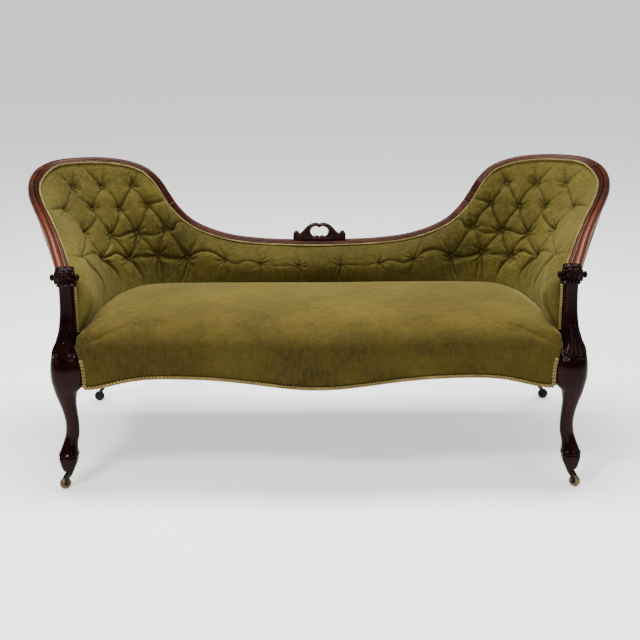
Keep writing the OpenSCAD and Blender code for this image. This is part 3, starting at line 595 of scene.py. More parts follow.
def seg_near(Q, pp):
    """Nearest point on the polyline pp from each of Q: distance, place along it from 0 to 1, offset."""
    a, d = pp[:-1], np.diff(pp, axis=0)
    L = np.linalg.norm(d, axis=1)
    t = np.clip(((Q[:, None] - a) * d).sum(-1) / np.maximum(L * L, 1e-9), 0, 1)
    off = Q[:, None] - a - t[..., None] * d
    r = np.linalg.norm(off, axis=-1)
    k = r.argmin(1)
    i = np.arange(len(Q))
    acc = np.concatenate([[0], np.cumsum(L)])
    return r[i, k], (acc[k] + t[i, k] * L[k]) / acc[-1], off[i, k]


def waves(P, freq, seed, n=7):
    g = np.random.default_rng(seed)
    out_ = np.zeros(len(P))
    for _ in range(n):
        k = unit(g.normal(size=3)) * freq * g.uniform(0.6, 1.4)
        out_ += np.cos(P @ k + g.uniform(0, 6.28))
    return out_ / (n / 2)


def buttoned_back():
    rng = np.random.default_rng(7)
    ns, nv = ((1300, 150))
    s0, s1 = 0.35, 2 * MID - 0.35
    q = np.linspace(s0, s1, 4000)
    line = inside(q, np.full(4000, 0.35))
    L = np.concatenate([[0], np.cumsum(np.linalg.norm(np.diff(line, axis=0), axis=1))])
    s = np.interp(np.linspace(0, L[-1], ns), L, q)
    v = np.linspace(0, 1, nv) ** 1.05
    S, V = np.meshgrid(s, v, indexing="ij")
    base = inside(S.ravel(), V.ravel()).reshape(ns, nv, 3)
    du, dv = np.gradient(base, axis=0), np.gradient(base, axis=1)
    N = unit(np.cross(du, dv))
    N *= np.sign((N * outn(S.ravel()).reshape(ns, nv, 3)).sum(-1, keepdims=True))
    P, N2, down, across = base.reshape(-1, 3), N.reshape(-1, 3), unit(dv.reshape(-1, 3)), unit(du.reshape(-1, 3))
    wide, narrow, dark, lift = (np.zeros(len(P)) for _ in range(4))
    for flip_ in (0, 1):
        for pts, w in FOLD:
            line = fold_line(pts)
            if flip_:
                line = line * [-1, 1] + [2 * MID, 0]
            free = not isinstance(pts[-1], str)
            pp = inside(line[:, 0], line[:, 1])
            w = w * rng.uniform(0.88, 1.12)
            lo, hi = pp.min(0) - 38, pp.max(0) + 38
            near = np.where(((P > lo) & (P < hi)).all(1))[0]
            if not len(near):
                continue
            r, t, off = seg_near(P[near], pp)
            below = smooth((off * down[near]).sum(1), -5, 5)
            amp = mix(1.0, 0.3, smooth(t, 0.25, 1.0)) if free else mix(0.7, 1.0, (2 * np.abs(t - 0.5)) ** 1.6)
            R = mix(33.0, 22.0, below) * (0.75 + 0.25 * amp)
            x = np.clip(1 - r / R, 0, 1)
            wide[near] += (7.0 * w * amp * x ** 2) ** 4
            nr = 5.5 * w * amp * np.exp(-(r / 3.0) ** 1.4)
            narrow[near] = np.maximum(narrow[near], nr)
            # painted shade: a thin dark line along each fold
            dark[near] = np.maximum(dark[near], 0.85 * w * amp * np.exp(-(r / 2.3) ** 1.6))
            # the cloth that stands up beside a fold
            lift[near] = np.maximum(lift[near], 1.5 * w * amp * np.exp(-((r - 10) / 6.0) ** 2) * (1 - below))
        for key, (bs, bv) in BUT.items():
            c = inside(2 * MID - bs if flip_ else bs, bv)[0]
            d = np.linalg.norm(P - c, axis=1)
            m = np.where(d < 62)[0]
            mm = d[m]
            small = 0.55 if key[0] == "e" else 1.0
            wide[m] += (mix(14.0, 16.5, small) * small ** 1.6 * np.clip(1 - mm / 46.0, 0, 1) ** 2.3) ** 4
            ang = np.arctan2(((P[m] - c) * down[m]).sum(1), ((P[m] - c) * across[m]).sum(1))
            g = np.zeros(len(m))
            far = 1.0 if key[0] in "ab" else 1.45
            for _ in range(11 if key[0] in "ab" else 15):
                a0, wd, ln, am = rng.uniform(-math.pi, math.pi), rng.uniform(0.09, 0.16), rng.uniform(18, 38) * far, rng.uniform(0.5, 1.0)
                bend = rng.normal() * 0.006
                da = (ang - a0 + bend * mm + math.pi) % (2 * math.pi) - math.pi
                wdt = wd * (1 + 5.0 / np.maximum(mm, 4))
                line_ = np.exp(-(da / wdt) ** 2)
                run = smooth(mm, 3, 9) * (1 - smooth(mm, 0.45 * ln, ln))
                g += am * run * (line_ - 0.8 * np.exp(-((np.abs(da) - 1.9 * wdt) / wdt) ** 2))
            lift[m] += 2.1 * small * g
            # painted shade in the wrinkles round each button and in its dimple
            dark[m] = np.maximum(dark[m], np.clip(-0.4 * small * g, 0, 0.4))
            dark[m] = np.maximum(dark[m], 0.9 * np.exp(-(mm / 8.5) ** 2))
    depth = wide ** 0.25
    vv = V.ravel()
    top = smooth(vv, 0, 0.05)
    lump = 1.3 * waves(P, 0.045, 3) + 0.5 * waves(P, 0.14, 4)
    pull = 0.4 * waves(P, 0.34, 5) * np.exp(-depth / 9)
    fade = smooth(vv, 0, 0.035)
    disp = -(depth + narrow) * top + (lift + (lump + pull) * np.exp(-depth / 14)) * fade + 2.2 * np.exp(-depth / 7) * top
    out = P + N2 * disp[:, None]
    # the upper pillow leans over the fold below it
    out += down * (2.4 * np.exp(-((depth - 6) / 4.0) ** 2) * top * (1 - smooth(vv, .9, 1)))[:, None]
    # painted shade: the upper part of the low middle back, near the rail, where it leans back into the top light, is
    # darkened
    dark = np.maximum(dark * top, 0.3 * (1 - smooth(vv, 0.12, 0.55)) * smooth(side(S.ravel()), 12.5, 17))
    out, dark = out.reshape(ns, nv, 3), np.clip(dark, 0, 1).reshape(ns, nv)

    # the plain roll at the front of each arm: from the first column round to the gimp beside the arm support
    K = 18

    def front(col, sx):
        z = col[:, 2]
        gx = np.full(len(z), 690.0)
        g = np.stack([sx * gx, np.full(len(z), -290.5), z], 1)
        cols = []
        for k in range(K):
            a = (k / K) * math.pi / 2
            x = g[:, 0] + (col[:, 0] - g[:, 0]) * math.sin(a) ** 0.9
            y = g[:, 1] + (col[:, 1] - g[:, 1]) * (1 - math.cos(a))
            cols.append(np.stack([x, y - 7 * math.sin(2 * a) * np.sin(math.pi * np.clip(v, 0, 1) ** 0.8), z + 0 * x], 1))
        return np.array(cols)
    G = np.concatenate([front(out[0], 1), out, front(out[-1], -1)[::-1]])
    D = np.concatenate([np.zeros((K, nv)), dark, np.zeros((K, nv))])
    S2 = np.concatenate([np.full(K, s0), s, np.full(K, s1)])
    foot = G[:, -1].copy()
    drop = []
    for t in (0.35, 0.7, 1.0):
        f = foot.copy()
        f[:, 2] = mix(foot[:, 2], 410, t)
        drop.append(f)
    back_foot, back_top = wall(S2, 1.04, 0.96), wall(S2, 1.04, 0.03)
    lowest = wall(S2, 1.04, 0.7)
    k = ((lowest[:, 2] - 410) / (lowest[:, 2] - back_foot[:, 2]))[:, None]
    back_foot = mix(lowest, back_foot, k)
    B = np.stack(drop + [mix(back_foot, back_top, t) for t in (0.0, 0.3, 0.6, 1.0)], 1)
    ring = np.concatenate([G, B], 1)
    deep = np.concatenate([D, np.zeros((len(G), B.shape[1]))], 1)
    vs, fs = ring_solid(ring)
    return mesh("buttoned_back_and_arms", vs, fs, MAT["back_velvet"], {"deep": np.concatenate([deep.ravel(), [0, 0]])}, fix=True)


pad = buttoned_back()
done(pad, "back_velvet", "back_pad")


def covered_buttons():
    bag = Bag()
    for flip_ in (0, 1):
        for key, (bs, bv) in BUT.items():
            s = 2 * MID - bs if flip_ else bs
            c = inside(s, bv)[0]
            a, b = inside(s + 0.15, bv)[0] - inside(s - 0.15, bv)[0], inside(s, bv + 0.03)[0] - inside(s, bv - 0.03)[0]
            n = unit(np.cross(a, b))
            n = n * np.sign(n @ outn(s)[0])
            u = unit(np.cross(n, [0, 0, 1.0]))
            w = np.cross(n, u)
            sink = 17.5 * (0.72 if key[0] == "e" else 1.0)
            rings = []
            for r, h in ((5.2, -5), (6.0, -2.4), (6.3, 0), (6.0, 1.3), (5.0, 2.4), (3.6, 3.1), (1.9, 3.5), (0.6, 3.6)):
                ang = 2 * math.pi * np.arange(22) / 22
                rings.append(c + n * (h - sink + 1.6) + r * (np.cos(ang)[:, None] * u + np.sin(ang)[:, None] * w))
            vs, fs = ring_solid(rings)
            # painted shade: the buttons are a little darker, sunk in their dimples
            bag.add(vs, fs, 0.12)
    return bag.make("covered_buttons", MAT["back_velvet"])


done(covered_buttons(), "back_velvet", "back_buttons")


# ------------------------------------------------------------------ seat
BL = np.array([(500, 250), (545, 243), (574, 230), (605, 202), (630, 162), (645, 108), (652, 48), (657, -15), (662, -100), (667, -270), (669, -292), (692, -293)], float)
BLF = np.concatenate([[(0, 252)], BL])


def back_line(x):
    return np.interp(np.abs(x), BLF[:, 0], BLF[:, 1])


def crown(x, w):
    k = np.abs(x) / 650
    return 456 + CROWN * (1 - 0.12 * k ** 4 - 0.3 * w * k ** 8) * np.sin(math.pi * np.clip(.06 + .9 * w, 0, 1)) ** 0.7 - 6 * w


def plan_dist(x, y):
    q = np.stack([np.abs(x), y], -1)
    a, d = BLF[:-1], np.diff(BLF, axis=0)
    t = np.clip(((q[..., None, :] - a) * d).sum(-1) / (d * d).sum(-1), 0, 1)
    return np.linalg.norm(q[..., None, :] - a - t[..., None] * d, axis=-1).min(-1)


def seat_height(x, y):
    """Height of the seat's cloth over a point of its plan."""
    a = yf(x)
    w = np.clip((y - a) / (256 - a), 0, 1)
    z = crown(x, w) - 0.008 * np.clip(np.abs(x) - 640, 0, None) ** 2
    zj = np.interp(y, [-140, 165], [482, 456]) - np.clip((np.abs(x) - 669) / 20, 0, 1) * 26
    e = plan_dist(x, y)
    E = 38 + 1.7 * np.clip(z - zj, 0, 60)
    z = np.where(e < E, mix(np.minimum(zj, z), z, 1 - np.clip(1 - e / E, 0, 1) ** 2.2), z)
    ef = np.clip(y - a, 0, None)
    return z - 28 * np.clip(1 - ef / 46, 0, 1) ** 2.4


def under(x, y):
    e, f, g = ((644 - np.abs(x)) / 48, (y + 295) / 48, (253 - y) / 52)
    return Z_TOP + 3.5 + 28 * np.clip(np.minimum(np.minimum(e, f), g), 0, 1)


def seat_grid():
    half = np.concatenate([np.arange(0, 600, 8.5), np.arange(600, 640, 6), [640, 644, 648, 652, 656, 660, 663, 665.5, 667.5, 669, 671, 673, 675, 677, 678.5, 680, 681.5, 683, 685, 687, 689, 691]])
    xs = np.concatenate([-half[:0:-1], half])
    kf, kt, kb, ku, ks = 16, 70, 4, 9, 3
    rings, pin, front = [], [], []
    for x in xs:
        a, b = float(yf(x)), float(back_line(x))
        low = float(np.interp(abs(x), [678.5, 680, 681.5, 685, 688, 691], [zb(min(abs(x), 678.5)), 360, 400, 410, 424, 436]))
        z0 = float(seat_height(np.array([x]), np.array([a]))[0])
        z0 = max(z0, low + 2)
        t = np.linspace(0, 1, kf)
        zf = mix(low, z0, t ** 0.92)
        yfr = a + np.interp(zf, [low, low + 3, low + 9, low + 30, 400, 425, 438, 447], [3.5, 1.2, 0, -1.6, -3.4, -3.6, -2.4, 0])
        F = np.stack([np.full(kf, x), yfr, zf], 1)
        tt = np.linspace(0, 1, kt + 1)[1:]
        ef = mix(np.minimum(1, 1) * tt, tt ** 1.9, 0.55) * (b - a)
        yt = a + ef
        zt = np.maximum(seat_height(np.full(kt, x), yt), low + 2.5)
        T = np.stack([np.full(kt, x), yt, zt], 1)
        zd = np.interp(np.arange(1, kb + 1) / kb, [0, 1], [zt[-1], max(float(under(x, b)) + 4, low + 1.0) if abs(x) < 679 else low + 1.0])
        Bk = np.stack([np.full(kb, x), np.full(kb, b + 0.2), zd], 1)
        u = np.linspace(0, 1, ku + 2)[1:-1]
        yu = mix(b - 1, a + 12.5, u)
        zu = under(np.full(ku, x), yu) if abs(x) < 679 else np.full(ku, low + 0.6)
        U = np.stack([np.full(ku, x), yu, zu], 1)
        zs = np.array([Z_TOP + 3.0, 0.5 * (Z_TOP + low), low]) if abs(x) < 679 else np.array([low + .5, low + .3, low])
        Sk = np.stack([np.full(ks, x), np.full(ks, a + 11.0), zs], 1)
        rings.append(np.concatenate([F, T, Bk, U, Sk]))
        e = plan_dist(np.full(kt, x), yt)
        lobe = smooth(abs(x), 664, 680)
        pf = np.maximum(lobe, 1 - 0.35 * smooth(zf, 385, 425) - 0.35 * smooth(zf, 420, 440))
        pt = np.maximum.reduce([1 - smooth(e, 8, 40) * (1 - lobe), 0.3 * (1 - smooth(yt - a, 0, 30))])
        pin.append(np.concatenate([pf, pt, np.ones(kb + ku + ks)]))
        front.append(np.concatenate([np.ones(kf), 1 - smooth(yt - a, 10, 130), np.zeros(kb + ku + ks)]))
    return np.array(rings), np.array(pin), np.array(front)


def cloth_settle(o, pin, pressure=4.0, frames=20, cap=24.0, stiff=18.0, shrink=0.0, quality=5):
    """Lets the cloth of o swell under its filling, held where pin is 1; moves no point further than cap (mm)."""
    me = o.data
    start = np.empty(len(me.vertices) * 3)
    me.vertices.foreach_get("co", start)
    start = start.reshape(-1, 3)
    g = o.vertex_groups.new(name="held")
    lv = np.round(np.clip(pin, 0, 1) * 20).astype(int)
    for k in range(1, 21):
        idx = np.where(lv == k)[0]
        if len(idx):
            g.add(idx.tolist(), k / 20, "REPLACE")
    c = o.modifiers.new("cloth", "CLOTH")
    st = c.settings
    st.quality = quality
    st.mass = 0.4
    st.tension_stiffness = st.compression_stiffness = stiff
    st.shear_stiffness = stiff * 0.7
    st.bending_stiffness = 1.5
    st.tension_damping = st.compression_damping = 12
    st.air_damping = 3
    st.use_pressure = True
    st.uniform_pressure_force = pressure
    st.shrink_min = shrink
    st.vertex_group_mass = "held"
    st.effector_weights.gravity = 0
    c.collision_settings.use_self_collision = False
    c.collision_settings.use_collision = False
    c.point_cache.frame_start, c.point_cache.frame_end = 1, frames
    sc = bpy.context.scene
    for f in range(1, frames + 1):
        sc.frame_set(f)
    dg = bpy.context.evaluated_depsgraph_get()
    ev = o.evaluated_get(dg)
    m2 = ev.to_mesh()
    end = np.empty(len(m2.vertices) * 3)
    m2.vertices.foreach_get("co", end)
    end = end.reshape(-1, 3)
    ev.to_mesh_clear()
    sc.frame_set(1)
    o.modifiers.remove(c)
    o.vertex_groups.remove(g)
    d = end - start
    L = np.linalg.norm(d, axis=1, keepdims=True)
    top = cap / 1000
    d *= np.where(L > 1e-9, top * np.tanh(L / top) / np.maximum(L, 1e-9), 0)
    print("settled", o.name, "mean mm", round(float(L.mean() * 1000), 2), "max", round(float(L.max() * 1000), 2))
    me.vertices.foreach_set("co", (start + d).ravel())
    me.update()
    return d


def refine(o, levels=1):
    m = o.modifiers.new("fine", "SUBSURF")
    m.levels = m.render_levels = levels
    dg = bpy.context.evaluated_depsgraph_get()
    new = bpy.data.meshes.new_from_object(o.evaluated_get(dg))
    o.modifiers.remove(m)
    old = o.data
    o.data = new
    new.name = o.name
    bpy.data.meshes.remove(old)
    new.polygons.foreach_set("use_smooth", [True] * len(new.polygons))
    return o


def coords(o):
    v = np.empty(len(o.data.vertices) * 3)
    o.data.vertices.foreach_get("co", v)
    v = v.reshape(-1, 3) * 1000
    v[:, 1] -= YS
    return v


def put_coords(o, v):
    v = np.array(v, float)
    v[:, 1] += YS
    o.data.vertices.foreach_set("co", (v / 1000).ravel())
    o.data.update()


def normals(o):
    n = np.empty(len(o.data.vertices) * 3)
    o.data.vertex_normals.foreach_get("vector", n)
    return n.reshape(-1, 3)


def seat():
    R, pin, front = seat_grid()
    sink = 1.0
    # the filling lifts the middle of the top, so it starts a little low
    free = 1 - pin
    R[..., 2] -= SEAT_LOW * sink * free * (1 - front)
    vs, fs = ring_solid(R)
    p = np.concatenate([pin.ravel(), [1, 1]])
    o = mesh("sprung_seat", vs, fs, MAT["seat_velvet"], {"deep": np.zeros(len(vs))}, fix=True)
    cloth_settle(o, p, pressure=SEAT_PRESS, cap=7, stiff=40)
    refine(o)
    v, n = coords(o), normals(o)
    x, y, z = v.T
    a = yf(x)
    e = plan_dist(x, y)
    onf = (y < a + 6) & (z < 470)
    fz = smooth(z, 345, 380)
    # soft vertical pulls in the front border near both ends, and shallow ripples in the top
    d = np.zeros(len(v))
    for cx, w, amp, lean in ((598, 12, 2.2, .25), (572, 10, 1.7, .22), (628, 9, 2.0, .2), (545, 13, 1.2, .3), (480, 16, .8, .2),
                             (-622, 10, 1.6, -.18), (-596, 12, 1.2, -.2), (-560, 14, .8, -.2), (120, 24, .6, 0), (-240, 26, .6, .1), (300, 22, .7, .1)):
        c = x - cx - lean * (z - 400) * 1.0
        k = np.exp(-(c / w) ** 2) - 0.55 * np.exp(-((c - 1.7 * w) / w) ** 2)
        d -= 0.6 * amp * k * fz * np.exp(-(np.clip(y - a, 0, None) / 45) ** 2) * (z > 340)
    topm = smooth(y - a, 20, 70) * smooth(e, 6, 40)
    d += topm * (0.8 * waves(v * [1, 1, 0], 0.012, 21) + 0.35 * waves(v * [.5, 1, 0], 0.05, 22))
    d += 0.25 * waves(v, 0.16, 23) * smooth(e, 2, 16) * (z > 330)
    # gathers where the cloth tucks under the arms and the back
    d += 0.9 * np.sin((x + 0.4 * y) * 0.11 + 1.5 * np.sin(x * 0.021)) * np.exp(-(e / 16.0) ** 2) * (z > 445) * smooth(y, -290, -240)
    v += n * d[:, None]
    put_coords(o, v)
    # painted shade: the front border, which faces forward and away from the light above, is darkened, and so is the top
    # where it tucks in against the arms and the back
    front_shade = 0.36 * (1 - smooth(n[:, 2] + 0.03 * waves(v, 0.05, 24), 0.56, 0.99)) * smooth(-n[:, 1], 0.08, 0.35)
    tuck_shade = 0.5 * np.exp(-(e / 9.0) ** 2) * (z > 430)
    o.data.attributes["deep"].data.foreach_set("value", np.maximum(front_shade, tuck_shade).astype(np.float32))
    return o


SEAT_LOW, SEAT_PRESS = 2.0, 5.0
cushion = seat()
done(cushion, "seat_velvet", "seat_cushion")


# ------------------------------------------------------------------ carved legs
def rounded(u, k):
    return np.sign(u) * np.abs(u) ** k


def ridge(U, Z, pts, r, h, groove=0.45, taper=True):
    """Relief of a bead along pts (u, z) with a groove beside it; u is across the leg in mm."""
    p = np.array(pts, float)
    q = cr(np.c_[p, 0 * p[:, 0]], np.linspace(0, len(p) - 1, 10 * (len(p) - 1) + 1))
    d, t, off = seg_near(np.stack([U.ravel(), Z.ravel(), 0 * U.ravel()], 1), q)
    d, t = d.reshape(U.shape), t.reshape(U.shape)
    rr = r * (mix(0.45, 1.0, np.sin(math.pi * np.clip(t, 0.02, 0.98)) ** 0.6) if taper else 1.0)
    x = d / rr
    g = np.exp(-((x - 1.45) / 0.5) ** 2)
    return h * np.sqrt(np.clip(1 - x * x, 0, 1)) - groove * h * g, g * (x < 3)


def front_leg(sx):
    st = np.array(LEG)[::-1]
    zk = st[:, 0]
    n = 300
    z = np.unique(np.concatenate([np.linspace(56, 604, n), np.linspace(96, 122, 34), np.linspace(395, 470, 50)]))
    # heights to the stations' own parameter, then a smooth curve through the stations
    idx = np.interp(z, zk, np.arange(len(zk)))
    base = cr(st[:, [1, 2, 3]], idx)
    hy = cr(st[:, [4, 0, 0]], idx)[:, 0]
    cx, cy, hx = base.T
    # the foot: a lipped collar over a faceted toe
    fz = np.array([56, 60, 66, 76, 88, 97, 100.5, 102.2, 103.6, 105.4, 108, 111, 116, 122, 130])
    fr = np.array([15.8, 17.2, 19.6, 23.2, 26.2, 27.0, 26.4, 25.6, 27.6, 29.0, 28.9, 27.6, 25.7, 24.2, 22.8])
    low = z < 130
    f = np.interp(z, fz, fr)
    k_ = smooth(z, 118, 132)
    hx, hy = np.where(low, mix(f, hx, k_), hx), np.where(low, mix(f * 0.985, hy, k_), hy)
    m = 128
    a = 2 * math.pi * np.arange(m) / m
    k = np.interp(z, [56, 99, 101, 112, 150, 250, 330, 400, 470, 604], [.5, .5, .6, .75, .86, .86, .8, .8, .78, .74])[:, None]
    ca, sa = np.cos(a)[None], np.sin(a)[None]
    X = rounded(ca, k) * np.ones_like(k)
    Y = rounded(sa, k) * np.ones_like(k)
    Z = np.repeat(z[:, None], m, 1)
    P = np.stack([cx[:, None] + hx[:, None] * X, cy[:, None] + hy[:, None] * Y, Z], -1)
    N = unit(np.stack([X / hx[:, None], Y / hy[:, None], 0 * X], -1))
    front = smooth(-Y, -0.25, 0.35)
    U = X * hx[:, None]
    h = np.zeros_like(U)
    # painted shade: flutes, grooves, hollows and the line under the collar's lip are darkened
    groove_shade = np.zeros_like(U)
    W = hx[:, None]
    # flutes of the arm support, spreading on to the knee
    for c0, c1, wd, dp in ((-0.36, -0.60, 0.13, 2.1), (0.36, 0.60, 0.13, 2.1), (0.0, 0.0, 0.10, 1.3)):
        c = mix(c0, c1, smooth(-Z, -478, -425))
        fade = smooth(Z, 425, 470) * (1 - smooth(Z, 582, 600)) if c0 else smooth(Z, 440, 500) * (1 - smooth(Z, 582, 600))
        g = np.exp(-(((U / W) - c) / wd) ** 2) * fade * front
        h -= dp * g
        groove_shade = np.maximum(groove_shade, 0.7 * g)
    # leaf scrolls on both shoulders of the knee
    for s_ in (-1, 1):
        for pts, r, hh in (([(s_ * 11, 486), (s_ * 17, 458), (s_ * 24, 440), (s_ * 29.5, 424), (s_ * 29, 409), (s_ * 22, 402), (s_ * 16, 408), (s_ * 18, 417), (s_ * 22.5, 415)], 3.6, 3.2),
                           ([(s_ * 5, 480), (s_ * 7.5, 455), (s_ * 10, 436), (s_ * 11, 420), (s_ * 8, 405)], 2.6, 1.7)):
            hr, gr = ridge(U, Z, pts, r, hh)
            h += hr * front
            groove_shade = np.maximum(groove_shade, 0.6 * gr * front)
    hr, gr = ridge(U, Z, [(0, 448), (0, 425), (0, 392)], 3.6, 1.2, taper=True)
    h += hr * front
    groove_shade = np.maximum(groove_shade, 0.5 * gr * front)
    # a soft keel down the front of the shin and two hollows that open on to the foot
    h += 1.3 * np.exp(-(U / W / 0.22) ** 2) * smooth(Z, 118, 160) * (1 - smooth(Z, 330, 385)) * front
    for c0 in (-1, 1):
        c = c0 * (0.42 + 0.1 * smooth(-Z, -150, -112))
        g = np.exp(-((U / W - c) / 0.13) ** 2) * smooth(Z, 108, 116) * (1 - smooth(Z, 160, 205)) * front
        h -= 1.5 * g
        groove_shade = np.maximum(groove_shade, 0.5 * g)
    # lips of the collar: three shallow leaf points each way round
    lip = np.exp(-((Z - 106.5) / 4.0) ** 2)
    h += 1.3 * lip * np.cos(8 * a)[None]
    groove_shade = np.maximum(groove_shade, 0.8 * np.exp(-((Z - 101.8) / 1.4) ** 2))
    P = P + N * h[..., None]
    # the knee is fuller towards the seat, and the arm support stands a little further out
    b = (smooth(z, 300, 342) * (1 - smooth(z, 370, 462)))[:, None]
    P[..., 0] += b * np.where(X < 0, -11.0 * np.abs(X) ** 1.5, 2.5 * X) + (4.0 * smooth(z, 455, 520))[:, None]
    P[..., 2] += (7.0 * smooth(z, 560, 604))[:, None]
    P[..., 0] *= sx
    v, f_ = ring_solid(P)
    return mesh("carved_front_leg_" + ("right" if sx > 0 else "left"), v, f_, MAT["dark_rosewood"], {"deep": np.concatenate([groove_shade.ravel(), [0, 0]])}, fix=True)


def rear_leg(sx):
    st = np.array(RLEG)
    n = 130
    z = np.linspace(56, 403.8, n)
    idx = np.interp(z, st[:, 0], np.arange(len(st)))
    c = cr(st[:, 1:4], idx)
    d = cr(st[:, [4, 5, 0]], idx)
    m = 72
    a = 2 * math.pi * np.arange(m) / m
    k = d[:, 1:2] + 0.06
    X, Y = rounded(np.cos(a)[None], k), rounded(np.sin(a)[None], k)
    hx = c[:, 2:3] * (1 + 0.04 * np.exp(-((z - 92) / 7.0) ** 2))[:, None]
    P = np.stack([c[:, :1] + hx * X, c[:, 1:2] + d[:, :1] * Y, np.repeat(z[:, None], m, 1)], -1)
    g = np.exp(-((z - 100) / 1.6) ** 2)[:, None]
    P[..., 0] -= 1.0 * g * X
    P[..., 1] -= 1.0 * g * Y
    P[..., 0] *= sx
    v, f_ = ring_solid(P)
    # painted shade in the groove round the foot
    groove_shade = np.concatenate([np.repeat(0.6 * g, m, 1).ravel(), [0, 0]])
    return mesh("rear_leg_shaped_" + ("right" if sx > 0 else "left"), v, f_, MAT["dark_rosewood"], {"deep": groove_shade}, fix=True)


for sx_, nm in ((1, "right"), (-1, "left")):
    done(front_leg(sx_), "dark_rosewood", "front_leg_" + nm)
    done(rear_leg(sx_), "dark_rosewood", "rear_leg_" + nm)


# ------------------------------------------------------------------ arm scrolls
def lathe_x(xs, rs_, c, m=64, rib=0.0, k=0, twist=0.0, mask=None):
    a = 2 * math.pi * np.arange(m) / m
    rings = []
    for i, (x, r) in enumerate(zip(xs, rs_)):
        w = mask[i] if mask is not None else 1.0
        rr = r + rib * w * np.cos(k * (a + twist * i))
        rings.append(np.stack([np.full(m, x), c[0] + rr * np.cos(a), c[1] + rr * np.sin(a)], 1))
    return ring_solid(np.array(rings))


def spiral(c, r0, r1, turns, x, n=60, start=0.0, sgn=1):
    t = np.linspace(0, 1, n)
    a = start + sgn * 2 * math.pi * turns * t
    r = mix(r0, r1, t ** 0.85)
    return np.stack([np.full(n, x), c[0] + r * np.cos(a), c[1] + r * np.sin(a)], 1)


def ball(c, r, n=14, m=20, squash=(1, 1, 1)):
    th = np.linspace(0.02, math.pi - 0.02, n)
    a = 2 * math.pi * np.arange(m) / m
    rings = np.stack([np.outer(np.sin(th), np.cos(a)), np.outer(np.sin(th), np.sin(a)), np.repeat(np.cos(th)[:, None], m, 1)], -1) * r * np.array(squash) + np.array(c)
    return ring_solid(rings)


def petal(c, n, d, length, width, height, m=14):
    """A leaf or petal that lies on the plane with normal n, from c along d."""
    n, d = unit(n), unit(d)
    w = np.cross(n, d)
    t = np.linspace(0, 1, 12)
    rings = []
    for q in t:
        wd = width * math.sin(math.pi * min(0.97, max(0.03, q)) ** 0.8) ** 0.7
        hh = height * math.sin(math.pi * min(0.97, 0.08 + 0.86 * q)) ** 0.6
        a = 2 * math.pi * np.arange(m) / m
        crease = 1 - 0.35 * np.exp(-(np.cos(a) / 0.25) ** 2) * (np.sin(a) > 0)
        rings.append(np.asarray(c) + d * length * q + np.outer(np.cos(a), w) * wd + np.outer(np.sin(a) * crease, n) * hh)
    return ring_solid(np.array(rings))


